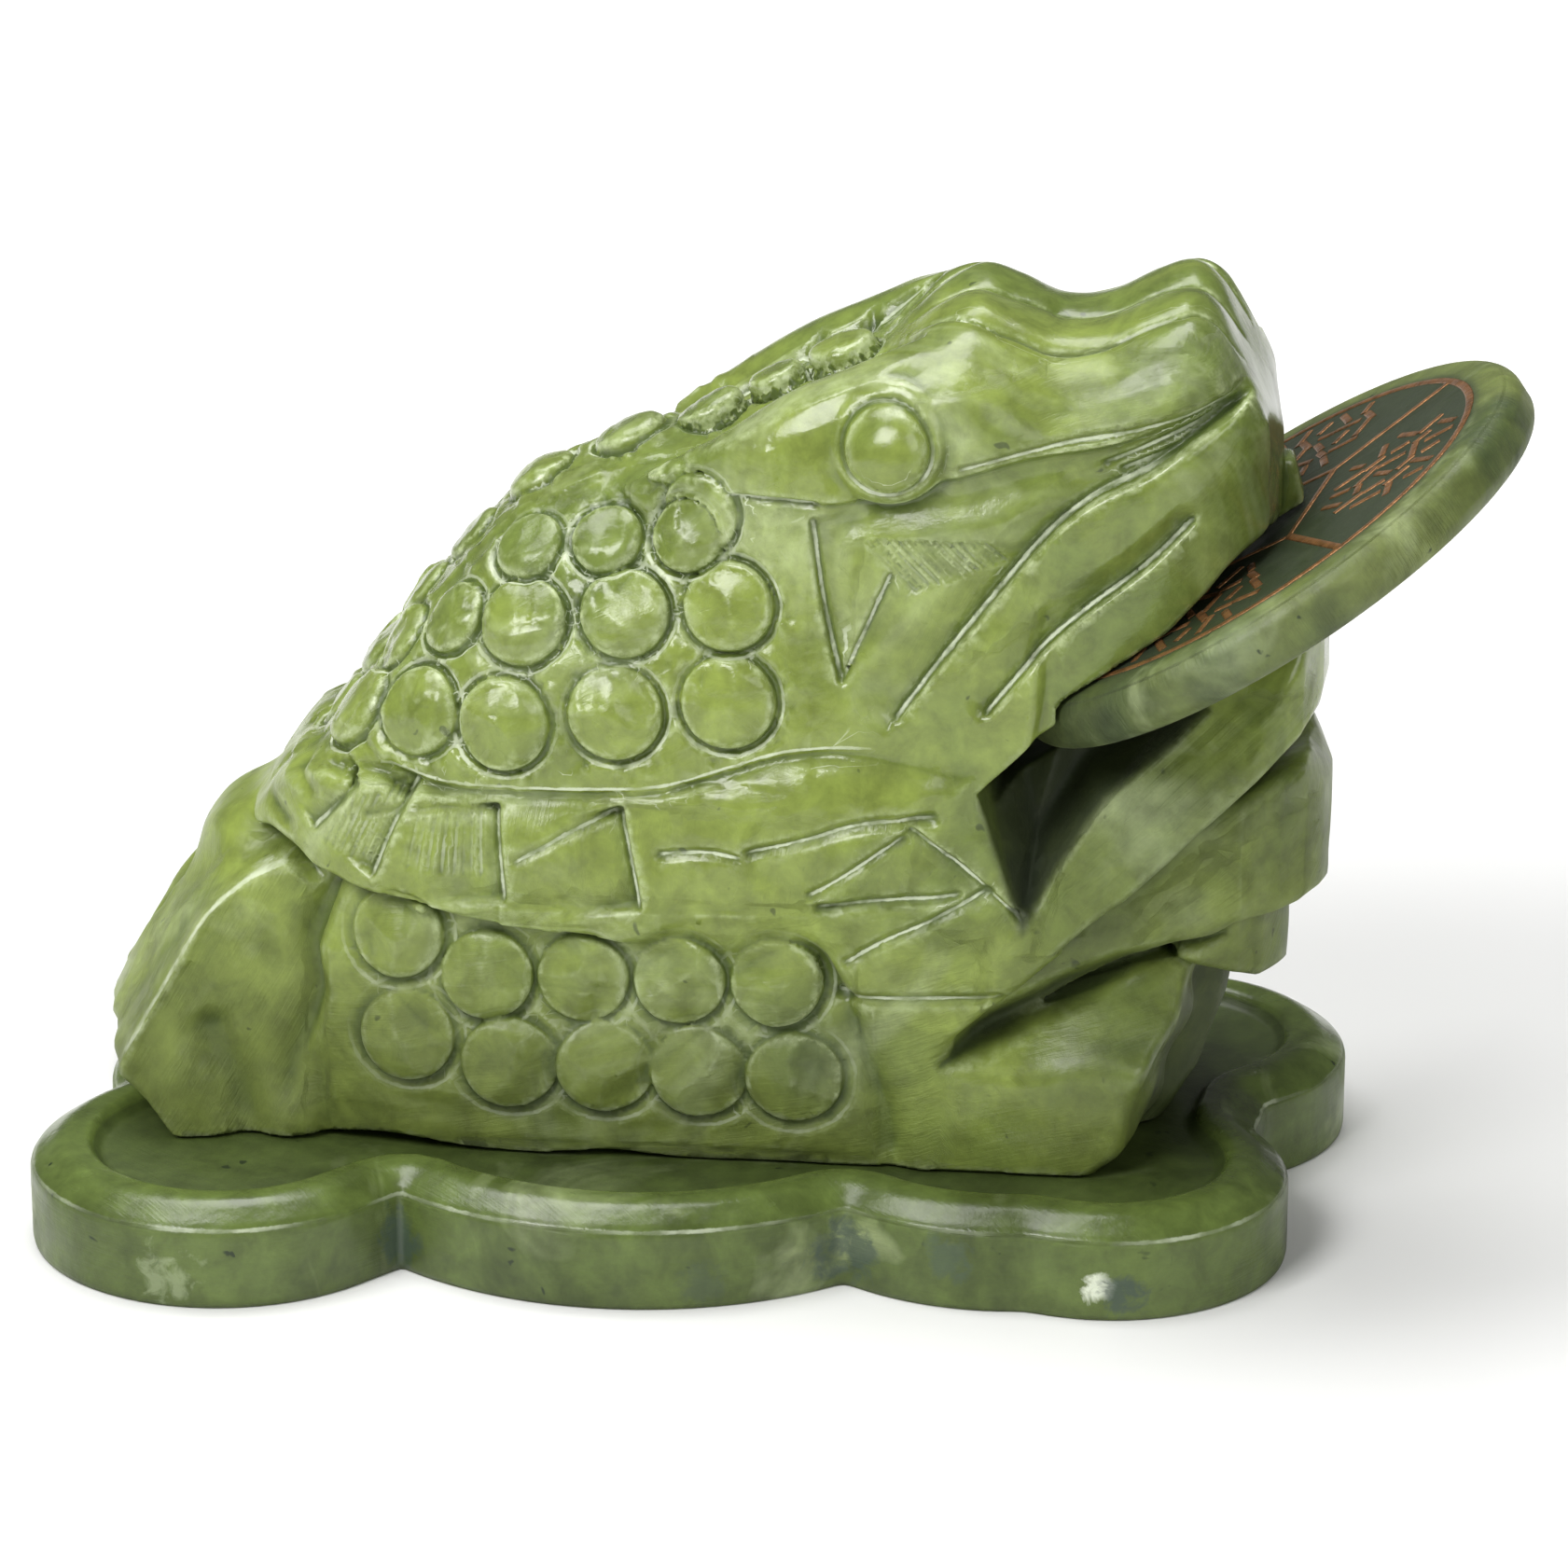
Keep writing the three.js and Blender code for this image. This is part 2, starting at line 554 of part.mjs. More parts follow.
// Merges edges of a closed mesh, the ones that change its form least first, down to a number of triangles.
// outs holds the way out of the surface at each point.
function simplify({ points, triangles, outs }, wanted) {
  const faces = triangles.map((t) => [...t]);
  const around = points.map(() => new Set());
  faces.forEach((t, id) => t.forEach((v) => around[v].add(id)));
  const normalOf = (a, b, c) => {
    const u = [b[0] - a[0], b[1] - a[1], b[2] - a[2]];
    const v = [c[0] - a[0], c[1] - a[1], c[2] - a[2]];
    return [u[1] * v[2] - u[2] * v[1], u[2] * v[0] - u[0] * v[2], u[0] * v[1] - u[1] * v[0]];
  };
  // Each point keeps a sum of squared distances to surface planes, as ten numbers.
  const sums = points.map((p, v) => {
    let area = 0;
    around[v].forEach((id) => {
      area += Math.hypot(...normalOf(...faces[id].map((w) => points[w]))) / 6;
    });
    const [a, b, c] = outs[v];
    const d = -(a * p[0] + b * p[1] + c * p[2]);
    return [a * a, a * b, a * c, a * d, b * b, b * c, b * d, c * c, c * d, d * d].map((q) => q * area);
  });
  const ways = points.map((p, v) => outs[v].map((part) => part * (sums[v][0] + sums[v][4] + sums[v][7])));
  const costAt = (q, [x, y, z]) => q[0] * x * x + 2 * q[1] * x * y + 2 * q[2] * x * z + 2 * q[3] * x
    + q[4] * y * y + 2 * q[5] * y * z + 2 * q[6] * y + q[7] * z * z + 2 * q[8] * z + q[9];
  const best = (a, b) => {
    const q = sums[a].map((v, i) => v + sums[b][i]);
    const half = points[a].map((v, axis) => (v + points[b][axis]) / 2);
    const pull = 0.01 * (q[0] + q[4] + q[7]);
    const [xx, yy, zz] = [q[0] + pull, q[4] + pull, q[7] + pull];
    const [xy, xz, yz] = [q[1], q[2], q[5]];
    const [rx, ry, rz] = [half[0] * pull - q[3], half[1] * pull - q[6], half[2] * pull - q[8]];
    const det = xx * (yy * zz - yz * yz) - xy * (xy * zz - yz * xz) + xz * (xy * yz - yy * xz);
    const place = [
      (rx * (yy * zz - yz * yz) - xy * (ry * zz - yz * rz) + xz * (ry * yz - yy * rz)) / det,
      (xx * (ry * zz - yz * rz) - rx * (xy * zz - yz * xz) + xz * (xy * rz - ry * xz)) / det,
      (xx * (yy * rz - ry * yz) - xy * (xy * rz - ry * xz) + rx * (xy * yz - yy * xz)) / det,
    ];
    const length = Math.hypot(...points[a].map((v, axis) => v - points[b][axis]));
    return { a, b, place, cost: Math.max(costAt(q, place), 0) + evenness * length ** 3 };
  };

  // A binary heap of edges, cheapest first.
  const heap = [];
  const versions = new Int32Array(points.length);
  const push = (item) => {
    let i = heap.push(item) - 1;
    while (i > 0) {
      const parent = (i - 1) >> 1;
      if (heap[parent].cost <= item.cost) break;
      heap[i] = heap[parent];
      i = parent;
    }
    heap[i] = item;
  };
  const pop = () => {
    const top = heap[0];
    const item = heap.pop();
    if (heap.length > 0) {
      let i = 0;
      for (;;) {
        let child = 2 * i + 1;
        if (child >= heap.length) break;
        if (child + 1 < heap.length && heap[child + 1].cost < heap[child].cost) child += 1;
        if (heap[child].cost >= item.cost) break;
        heap[i] = heap[child];
        i = child;
      }
      heap[i] = item;
    }
    return top;
  };
  const offer = (a, b) => {
    const edge = best(a, b);
    edge.stamp = versions[a] + versions[b];
    push(edge);
  };
  const neighbours = (v) => {
    const out = new Set();
    around[v].forEach((id) => faces[id].forEach((w) => out.add(w)));
    out.delete(v);
    return out;
  };
  const shapeOf = (corners, out) => {
    const normal = normalOf(...corners);
    const size = Math.hypot(...normal);
    const longest = Math.max(...corners.map((p, i) => {
      const q = corners[(i + 1) % 3];
      return (p[0] - q[0]) ** 2 + (p[1] - q[1]) ** 2 + (p[2] - q[2]) ** 2;
    }));
    const dot = (normal[0] * out[0] + normal[1] * out[1] + normal[2] * out[2]) / (size + 1e-12);
    return { dot, width: size / longest };
  };
  const spoils = (v, other, place) => {
    const merged = direction(ways[v].map((part, axis) => part + ways[other][axis]));
    for (const id of around[v]) {
      const t = faces[id];
      if (!t.includes(other)) {
        const out = [...merged];
        for (const w of t) {
          if (w !== v) direction(ways[w]).forEach((part, axis) => { out[axis] += part; });
        }
        const after = shapeOf(t.map((w) => (w === v ? place : points[w])), direction(out));
        if (after.dot < 0.4 || after.width < 0.05) {
          const before = shapeOf(t.map((w) => points[w]), direction(out));
          if (after.dot < 0.4 && after.dot < before.dot) return true;
          if (after.width < 0.05 && after.width < before.width) return true;
        }
      }
    }
    return false;
  };

  let left = faces.length;
  const merge = ({ a, b, place, stamp }) => {
    if (around[a].size === 0 || around[b].size === 0 || stamp !== versions[a] + versions[b]) return;
    const ofA = neighbours(a);
    const ofB = neighbours(b);
    if (!ofA.has(b)) return;
    const shared = [...ofA].filter((v) => ofB.has(v));
    if (shared.length !== 2 || spoils(a, b, place) || spoils(b, a, place)) return;
    points[a] = [...place];
    sums[a] = sums[a].map((v, i) => v + sums[b][i]);
    ways[a] = ways[a].map((v, i) => v + ways[b][i]);
    for (const id of [...around[b]]) {
      const t = faces[id];
      if (t.includes(a)) {
        t.forEach((v) => around[v].delete(id));
        left -= 1;
      } else {
        t[t.indexOf(b)] = a;
        around[a].add(id);
      }
    }
    around[b].clear();
    versions[a] += 1;
    neighbours(a).forEach((v) => offer(Math.min(a, v), Math.max(a, v)));
  };
  // An edge that was refused gets another chance once the others are done.
  for (let pass = 0; pass < 8 && left > wanted; pass += 1) {
    points.forEach((_, v) => neighbours(v).forEach((w) => {
      if (w > v) offer(v, w);
    }));
    while (left > wanted && heap.length > 0) merge(pop());
  }
  const kept = new Set();
  around.forEach((ids) => ids.forEach((id) => kept.add(id)));
  return { points, triangles: [...kept].sort((p, q) => p - q).map((id) => faces[id]) };
}

function geometryOf({ points, triangles }) {
  const geometry = new THREE.BufferGeometry();
  geometry.setAttribute('position', new THREE.Float32BufferAttribute(points.flat(), 3));
  geometry.setIndex(triangles.flat());
  geometry.computeVertexNormals();
  return geometry;
}

// A closed solid through a stack of rings of points, with a flat end at each end.
function stack(rings, lowMiddle, highMiddle) {
  const count = rings[0].length;
  const points = [...rings.flat(), lowMiddle, highMiddle];
  const last = (rings.length - 1) * count;
  const triangles = [];
  for (let i = 0; i < count; i += 1) {
    const next = (i + 1) % count;
    for (let ring = 0; ring < last; ring += count) {
      triangles.push([ring + i, ring + next, ring + next + count]);
      triangles.push([ring + i, ring + next + count, ring + i + count]);
    }
    triangles.push([points.length - 2, next, i], [points.length - 1, last + i, last + next]);
  }
  return { points, triangles };
}

// Coin: rings about the middle of its upper face, grown by a gap where it stands for the room it needs.
function coinForm(gap) {
  const radius = coinDiameter / 2 + gap;
  const corner = coinRim + gap;
  const profile = [];
  for (let i = 0; i <= rimSteps; i += 1) {
    const angle = Math.PI / 2 * i / rimSteps;
    profile.push([
      radius - corner * (1 - Math.sin(angle)),
      -coinThickness - gap + corner * (1 - Math.cos(angle)),
    ]);
  }
  for (let i = 0; i <= rimSteps; i += 1) {
    const angle = Math.PI / 2 * i / rimSteps;
    profile.push([radius - corner * (1 - Math.cos(angle)), gap - corner * (1 - Math.sin(angle))]);
  }
  const rings = profile.map(([reach, height]) => Array.from({ length: coinSteps }, (_, i) => {
    const angle = 2 * Math.PI * i / coinSteps;
    return [reach * Math.cos(angle), reach * Math.sin(angle), height];
  }));
  return stack(rings, [0, 0, -coinThickness - gap], [0, 0, gap]);
}

const coinPlace = new THREE.Matrix4().makeRotationY(-coinTilt).setPosition(
  ...placed([coinDrawn.x, 0, coinDrawn.z]),
);

function solidOf({ points, triangles }) {
  return new wasm.Manifold(new wasm.Mesh({
    numProp: 3,
    vertProperties: Float32Array.from(points.flat()),
    triVerts: Uint32Array.from(triangles.flat()),
  }));
}

function geometryOfSolid(solid) {
  const { vertProperties, triVerts } = solid.getMesh();
  const geometry = new THREE.BufferGeometry();
  geometry.setAttribute('position', new THREE.Float32BufferAttribute(vertProperties, 3));
  geometry.setIndex([...triVerts]);
  geometry.computeVertexNormals();
  return geometry;
}

function toadGeometry() {
  const low = [-64.4, -25.3, 5.2];
  const high = [60, 25.3, 92];
  const carved = mesh(toadField, low, high, cellSize);
  const settled = carved.points.map((p) => settle(toadField, p, 2, 0.25));
  const light = simplify({
    points: settled.map(({ place }) => place),
    outs: settled.map(({ out }) => out),
    triangles: carved.triangles,
  }, toadTriangles);
  const ids = new Map();
  const points = [];
  const triangles = light.triangles.map((t) => t.map((v) => {
    if (!ids.has(v)) {
      ids.set(v, points.push(placed(light.points[v])) - 1);
    }
    return ids.get(v);
  }));
  const room = coinForm(coinGap);
  room.points = room.points.map((p) => new THREE.Vector3(...p).applyMatrix4(coinPlace).toArray());
  const block = solidOf({ points, triangles }).trimByPlane([0, 0, 1], toadFloor);
  return geometryOfSolid(block.subtract(solidOf(room)));
}

// Tray outline: arcs of circles in the toad's drawing, with softened notches between them.
const outlineMiddle = { x: -2, y: 0 };
const lobes = [
  { x: -42.8, y: -20.3, radius: 11.6 },
  { x: -6.3, y: -2.9, radius: 25.4 },
  { x: 27.5, y: -10, radius: 15.2 },
  { x: 37.2, y: -16.2, radius: 9.9 },
  { x: 30, y: 0, radius: 14.4 },
  { x: 41.7, y: 13.8, radius: 9.8 },
  { x: 29, y: 10, radius: 15.2 },
  { x: -6.3, y: 2.9, radius: 25.4 },
  { x: -42.8, y: 20.3, radius: 11.6 },
  { x: -38, y: 0, radius: 12.9 },
];

// Distance from the middle point to the base's outline, in a direction.
function outlineReach(angle) {
  const dx = Math.cos(angle);
  const dy = Math.sin(angle);
  let sum = 0;
  for (const { x, y, radius } of lobes) {
    const px = (x - outlineMiddle.x) * toadScale;
    const py = (y - outlineMiddle.y) * toadScale;
    const along = px * dx + py * dy;
    const rest = (radius * toadScale + rimWidth) ** 2 - px * px - py * py + along * along;
    if (rest > 0) sum += Math.exp((along + Math.sqrt(rest)) / notchBlend);
  }
  return Math.log(sum) * notchBlend;
}

// Points along the outline, closer together where it turns.
function baseOutline() {
  const samples = 12 * outlineSteps;
  const fine = Array.from({ length: samples }, (_, i) => {
    const angle = 2 * Math.PI * i / samples;
    const reach = outlineReach(angle);
    return [
      outlineMiddle.x * toadScale + Math.cos(angle) * reach,
      outlineMiddle.y * toadScale + Math.sin(angle) * reach,
    ];
  });
  const heading = (i) => {
    const p = fine[(i + samples) % samples];
    const q = fine[(i + 1) % samples];
    return Math.atan2(q[1] - p[1], q[0] - p[0]);
  };
  const weights = fine.map((p, i) => {
    const q = fine[(i + 1) % samples];
    const turn = Math.abs(Math.sin(heading(i) - heading(i - 1)));
    return Math.hypot(q[0] - p[0], q[1] - p[1]) + turnWeight * turn;
  });
  const total = weights.reduce((sum, w) => sum + w, 0);
  const points = [];
  let passed = 0;
  fine.forEach((p, i) => {
    if (passed >= points.length * total / outlineSteps && points.length < outlineSteps) points.push(p);
    passed += weights[i];
  });
  return points;
}

// Moves a closed outline inwards.
function inset(points, distance) {
  return points.map((p, i) => {
    const before = points[(i + points.length - 1) % points.length];
    const after = points[(i + 1) % points.length];
    const tx = after[0] - before[0];
    const ty = after[1] - before[1];
    const size = Math.hypot(tx, ty);
    return [p[0] - ty / size * distance, p[1] + tx / size * distance];
  });
}

// Base: a rim that rises from the side to a rounded crest, then falls to the tray.
function baseGeometry() {
  const side = baseHeight - rimRise;
  const profile = [
    [baseFoot, 0],
    [0, baseFoot],
    [0, side],
    [rimWidth * 0.1, side + rimRise * 0.4],
    [rimWidth * 0.26, side + rimRise * 0.75],
    [rimWidth * 0.5, baseHeight],
    [rimWidth * 0.8, baseHeight - trayDepth * 0.15],
    [rimWidth * 0.9, baseHeight - trayDepth * 0.8],
    [rimWidth, baseHeight - trayDepth],
  ];
  const edge = baseOutline();
  const rings = profile.map(([inwards, height]) => inset(edge, inwards).map(([x, y]) => [x, y, height]));
  const x = outlineMiddle.x * toadScale;
  const y = outlineMiddle.y * toadScale;
  return geometryOf(stack(rings, [x, y, 0], [x, y, baseHeight - trayDepth]));
}

const toadStone = new THREE.MeshStandardMaterial({ color: 0x7d9340, roughness: 0.28, metalness: 0 });
const baseStone = new THREE.MeshStandardMaterial({ color: 0x55702f, roughness: 0.3, metalness: 0 });
const coinStone = new THREE.MeshStandardMaterial({ color: 0x6f8a50, roughness: 0.3, metalness: 0 });

const figure = new THREE.Group();

const base = new THREE.Mesh(baseGeometry(), baseStone);
base.name = 'base';
figure.add(base);

const toad = new THREE.Mesh(toadGeometry(), toadStone);
toad.name = 'toad';
figure.add(toad);

const coin = new THREE.Mesh(geometryOf(coinForm(0)), coinStone);
coin.name = 'coin';
coin.applyMatrix4(coinPlace);
figure.add(coin);

export default figure;
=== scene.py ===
import itertools
import math
import bpy
import numpy as np
from mathutils import Matrix, Vector
from mathutils.geometry import tessellate_polygon


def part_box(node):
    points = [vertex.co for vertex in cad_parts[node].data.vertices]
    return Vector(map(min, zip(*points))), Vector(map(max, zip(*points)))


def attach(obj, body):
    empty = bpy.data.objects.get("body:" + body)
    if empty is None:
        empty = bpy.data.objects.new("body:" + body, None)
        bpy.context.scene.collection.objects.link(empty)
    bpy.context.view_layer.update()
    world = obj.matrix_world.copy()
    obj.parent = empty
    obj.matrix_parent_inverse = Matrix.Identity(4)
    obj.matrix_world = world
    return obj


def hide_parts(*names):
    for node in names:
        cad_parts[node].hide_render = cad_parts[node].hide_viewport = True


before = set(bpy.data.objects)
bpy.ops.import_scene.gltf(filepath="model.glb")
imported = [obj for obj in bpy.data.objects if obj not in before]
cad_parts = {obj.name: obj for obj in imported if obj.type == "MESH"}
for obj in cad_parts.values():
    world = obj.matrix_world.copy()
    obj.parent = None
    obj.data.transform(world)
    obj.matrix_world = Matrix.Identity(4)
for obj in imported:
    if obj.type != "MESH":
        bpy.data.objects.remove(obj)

bl_info = {
    "name": "Stone money toad",
    "version": (1, 0, 0),
    "blender": (4, 5, 0),
    "location": "3D View > Sidebar > Money toad",
    "description": "Carves and polishes a stone toad with a coin in its mouth, on a lobed base",
    "category": "Object",
}

MM = 0.001


# Sizes and colours that a user would change.

class FigureSizes(bpy.types.PropertyGroup):
    """Sizes of the carving, in metres where they are lengths"""
    toad_length: bpy.props.FloatProperty(
        name="Toad length", description="Length of the toad without its coin", default=113 * MM,
        unit='LENGTH')
    cell: bpy.props.FloatProperty(
        name="Carving grid", description="Spacing of the grid that the toad is carved on", default=0.33 * MM,
        unit='LENGTH')
    toad_triangles: bpy.props.IntProperty(
        name="Toad triangles", description="Most triangles that the toad's mesh keeps", default=190000)
    base_height: bpy.props.FloatProperty(
        name="Base height", description="Height of the base at the crest of its rim", default=9.5 * MM,
        unit='LENGTH')
    tray_depth: bpy.props.FloatProperty(
        name="Tray depth", description="Depth of the tray below the rim", default=1.5 * MM, unit='LENGTH')
    rim_width: bpy.props.FloatProperty(
        name="Rim width", description="Width of the base's rim", default=6.6 * MM, unit='LENGTH')
    coin_diameter: bpy.props.FloatProperty(
        name="Coin diameter", description="Diameter of the coin", default=54 * MM, unit='LENGTH')
    coin_thickness: bpy.props.FloatProperty(
        name="Coin thickness", description="Thickness of the coin", default=5.2 * MM, unit='LENGTH')
    coin_tilt: bpy.props.FloatProperty(
        name="Coin tilt", description="How far the coin leans up out of the mouth",
        default=math.radians(34.25), subtype='ANGLE')
    ring_radius: bpy.props.FloatProperty(
        name="Ring radius", description="Radius of the ring inlaid in the coin's face", default=22.6 * MM,
        unit='LENGTH')
    stroke_width: bpy.props.FloatProperty(
        name="Stroke width", description="Width of the coppery strokes", default=0.85 * MM, unit='LENGTH')


class FigureColours(bpy.types.PropertyGroup):
    """Colours of the stone and of the copper paint"""
    light_stone: bpy.props.FloatVectorProperty(
        name="Light stone", description="Yellow green of the toad", default=(0.205, 0.262, 0.052),
        subtype='COLOR', min=0, max=1)
    deep_stone: bpy.props.FloatVectorProperty(
        name="Deep stone", description="Darker green between the clouds", default=(0.11, 0.155, 0.034),
        subtype='COLOR', min=0, max=1)
    pale_stone: bpy.props.FloatVectorProperty(
        name="Pale stone", description="Milky patches", default=(0.4, 0.47, 0.24), subtype='COLOR', min=0,
        max=1)
    base_stone: bpy.props.FloatVectorProperty(
        name="Base stone", description="Green of the base", default=(0.103, 0.146, 0.033), subtype='COLOR',
        min=0, max=1)
    coin_face: bpy.props.FloatVectorProperty(
        name="Coin face", description="Bluish green of the coin's face", default=(0.018, 0.027, 0.012),
        subtype='COLOR', min=0, max=1)
    copper: bpy.props.FloatVectorProperty(
        name="Copper", description="Coppery paint in the coin's strokes", default=(0.31, 0.145, 0.056),
        subtype='COLOR', min=0, max=1)


def sizes():
    return bpy.context.scene.toad_sizes


def colours():
    return bpy.context.scene.toad_colours


# Blending of solids given as signed distances in millimetres, negative inside.

def join(a, b, blend):
    h = np.clip(0.5 + 0.5 * (b - a) / blend, 0, 1)
    return b + (a - b) * h - blend * h * (1 - h)


def cut(a, b, blend):
    return -join(-a, b, blend)


def common(a, b, blend):
    return -join(-a, -b, blend)


def ramp(value, width):
    t = np.clip(value / width, 0, 1)
    return t * t * (3 - 2 * t)


def slab(side, width, radius):
    a = side + radius
    b = width + radius
    return np.minimum(np.maximum(a, b), 0) + np.hypot(np.maximum(a, 0), np.maximum(b, 0)) - radius


def face(x, y, z, normal, point):
    n = np.array(normal, float)
    n /= np.linalg.norm(n)
    return (x - point[0]) * n[0] + (y - point[1]) * n[1] + (z - point[2]) * n[2]


def outline(u, v, points):
    """Signed distance to a closed outline."""
    nearest = np.full(u.shape, 1e9)
    sign = np.ones(u.shape)
    for a, b in zip(points, points[-1:] + points[:-1]):
        eu, ev = b[0] - a[0], b[1] - a[1]
        wu, wv = u - a[0], v - a[1]
        t = np.clip((wu * eu + wv * ev) / (eu * eu + ev * ev), 0, 1)
        nearest = np.minimum(nearest, (wu - eu * t) ** 2 + (wv - ev * t) ** 2)
        above, below, left = v >= a[1], v < b[1], eu * wv > ev * wu
        sign[(above & below & left) | ~(above | below | left)] *= -1
    return sign * np.sqrt(nearest)


def follow(u, v, points):
    """Distance to an open line, the side of it (1 on its right as it is drawn, or -1), and the way along it,
    from 0 to 1 and going on past its ends."""
    run = np.cumsum([0] + [math.hypot(b[0] - a[0], b[1] - a[1]) for a, b in zip(points[:-1], points[1:])])
    nearest, side, along = np.full(u.shape, 1e9), np.zeros(u.shape), np.zeros(u.shape)
    last = len(points) - 2
    for i, (a, b) in enumerate(zip(points[:-1], points[1:])):
        eu, ev = b[0] - a[0], b[1] - a[1]
        wu, wv = u - a[0], v - a[1]
        free = (wu * eu + wv * ev) / (eu * eu + ev * ev)
        t = np.clip(free, 0, 1)
        far = (wu - eu * t) ** 2 + (wv - ev * t) ** 2
        closer = far < nearest
        nearest = np.where(closer, far, nearest)
        side = np.where(closer, np.sign(wu * ev - wv * eu), side)
        t = np.clip(free, -9 if i == 0 else 0, 9 if i == last else 1)
        along = np.where(closer, (run[i] + t * (run[i + 1] - run[i])) / run[-1], along)
    return np.sqrt(nearest), side, along


def smooth(points, steps=5):
    """A rounded line through the points of an open line."""
    p = np.array([points[0], *points, points[-1]], float)
    out = []
    for a, b, c, d in zip(p[:-3], p[1:-2], p[2:-1], p[3:]):
        for t in np.arange(steps) / steps:
            out.append(tuple(0.5 * (2 * b + (c - a) * t + (2 * a - 5 * b + 4 * c - d) * t * t
                                    + (d - 3 * c + 3 * b - a) * t ** 3)))
    return out + [tuple(p[-2])]


def close_to(u, v, points, reach):
    """Which places are inside a box round a line."""
    us, vs = [q[0] for q in points], [q[1] for q in points]
    return (u > min(us) - reach) & (u < max(us) + reach) & (v > min(vs) - reach) & (v < max(vs) + reach)


def lines(value, table):
    return np.interp(value, [p[0] for p in table], [p[1] for p in table])


def curve(value, table):
    """A smooth curve through a table of (place, value) pairs."""
    xs = np.array([p[0] for p in table], float)
    ys = np.array([p[1] for p in table], float)
    last = len(xs) - 1
    before = np.maximum(np.arange(last + 1) - 1, 0)
    after = np.minimum(np.arange(last + 1) + 1, last)
    slope = (ys[after] - ys[before]) / (xs[after] - xs[before])
    i = np.clip(np.searchsorted(xs, value) - 1, 0, last - 1)
    span = xs[i + 1] - xs[i]
    u = np.clip((value - xs[i]) / span, 0, 1)
    u2, u3 = u * u, u ** 3
    return ((2 * u3 - 3 * u2 + 1) * ys[i] + (u3 - 2 * u2 + u) * span * slope[i]
            + (3 * u2 - 2 * u3) * ys[i + 1] + (u3 - u2) * span * slope[i + 1])


# Profiles of the toad in its drawing's millimetres: side views are (x, z), plans are (x, half width).

RIDGE = [(-56, 18), (-50, 25.5), (-46.3, 31), (-39, 39.8), (-31.9, 49.2), (-27.4, 55.6), (-19.1, 65),
         (-10.1, 70), (-2.5, 72.8), (6.8, 76.8), (16, 80.8), (24, 84), (60, 84)]
CROWN = [(-20, 62), (-10, 67), (-2, 71.6), (6.8, 77.2), (15, 81.2), (20, 84.6), (23.5, 86.2), (27, 85.2),
         (31, 83.8), (35, 84.2), (39, 86), (42.5, 87), (45, 85.6), (47.2, 82), (60, 62)]
SNOUT_SIDE = [(-60, 17.4), (-42, 17.6), (-30, 17.8), (-20, 17.4), (-12, 17), (-8, 16.4), (-4.5, 14.6),
              (-1.5, 11.4), (0, 9), (3, 0)]
BROW_SIDE = [(-60, 17.4), (-42, 17.6), (-30, 17.8), (-20, 17.6), (-10, 17.2), (-6, 16.8), (-2, 15.4),
             (0, 14.2), (0.5, 13.2), (3, 6)]
HEAD = [(9, 44.3), (25, 44.3), (49.6, 63.5), (51.2, 67), (51.2, 72), (50, 77), (47.4, 83.2), (44.6, 92),
        (-14, 92), (-10, 70), (2, 62)]
HEAD_FRONT = [(30, 18.1), (37, 17.2), (44.2, 15), (49, 11.2), (51, 6), (51.4, 0)]
HEAD_PLAN = [(-12, 8.5), (-2, 12), (6, 16.2), (14, 18), (22, 18.4), *smooth(HEAD_FRONT), (51.4, -5),
             (-12, -5)]
MOUTH = [(25.2, 44.4), (29, 33.6), (80, 33.6), (80, 91), (49.6, 68.2)]
SKIRT_TOP = [(-46, 40), (-37.4, 42.4), (-28.9, 43.2), (-22.2, 42.4), (-15.5, 42.4), (-3.7, 43), (3, 45),
             (8.8, 46.8), (17.1, 47.2), (25.4, 45.4), (40, 41)]
SKIRT_LOW = [(-46, 36.2), (-42, 35.2), (-37.2, 34.8), (-33, 34), (-30.5, 33.6), (-26.3, 33), (-17.1, 31.2),
             (-12, 30.7), (-7, 30.2), (-2, 29.6), (5, 29.3), (12, 29.8), (40, 35)]
HAUNCH = [(-38, 6), (22, 6), (22, 33), (25, 46), (-32, 42), (-32.2, 34), (-34, 30), (-35.2, 26.5),
          (-34.4, 22.5), (-35.4, 19.3), (-36.6, 16), (-37.4, 12)]
HAUNCH_WIDTH = [(0, 19), (8.3, 19.4), (14, 20), (20, 20.3), (27, 19.8), (34, 18.8), (60, 17.5)]
LEG = [(-3, 44), (-1, 39.5), (4.7, 38.4), (9.7, 31.9), (13.1, 25.7), (15.2, 20.4), (17.2, 14.1), (18.2, 6),
       (34, 6), (33, 17.5), (24, 19), (23.5, 21), (33, 29), (29.2, 34), (25, 44.5), (10, 46)]
LEG_WIDTH = [(8, 19.6), (20, 20.7), (32, 21.4), (40, 21), (46, 19), (50, 18)]
JAW_START = (22.7, 20.8)
JAW_END = (55.6, 49.5)
JAW = [(20, 18.4), (55, 49), (55.8, 51), (55.8, 80), (29.3, 80), (27, 45), (20, 33)]
JAW_PLAN = [(0, 20.6), (24, 20.4), (30, 19.8), (40, 17.8), (49, 14.8), (53.6, 10), (55.3, 5), (55.7, 0),
            (55.7, -5), (0, -5)]
JAW_WIDTH = [(0, 20.6), (24, 20.4), (30, 19.8), (40, 17.8), (49, 15), (60, 14)]
JAW_SLOPE = [(27, 0.06), (33, 0.42), (40, 0.66), (56, 0.74)]
ROLLS = [([(48, 30.5), (56.6, 31), (56.8, 41.5), (54, 45), (20, 30), (20, 14)], 56.6, 15.6),
         ([(38, 28), (42, 27), (46.4, 24.8), (50, 23), (53, 22.8), (53.2, 29), (50, 32), (20, 32), (20, 28)],
          53, 14.6)]
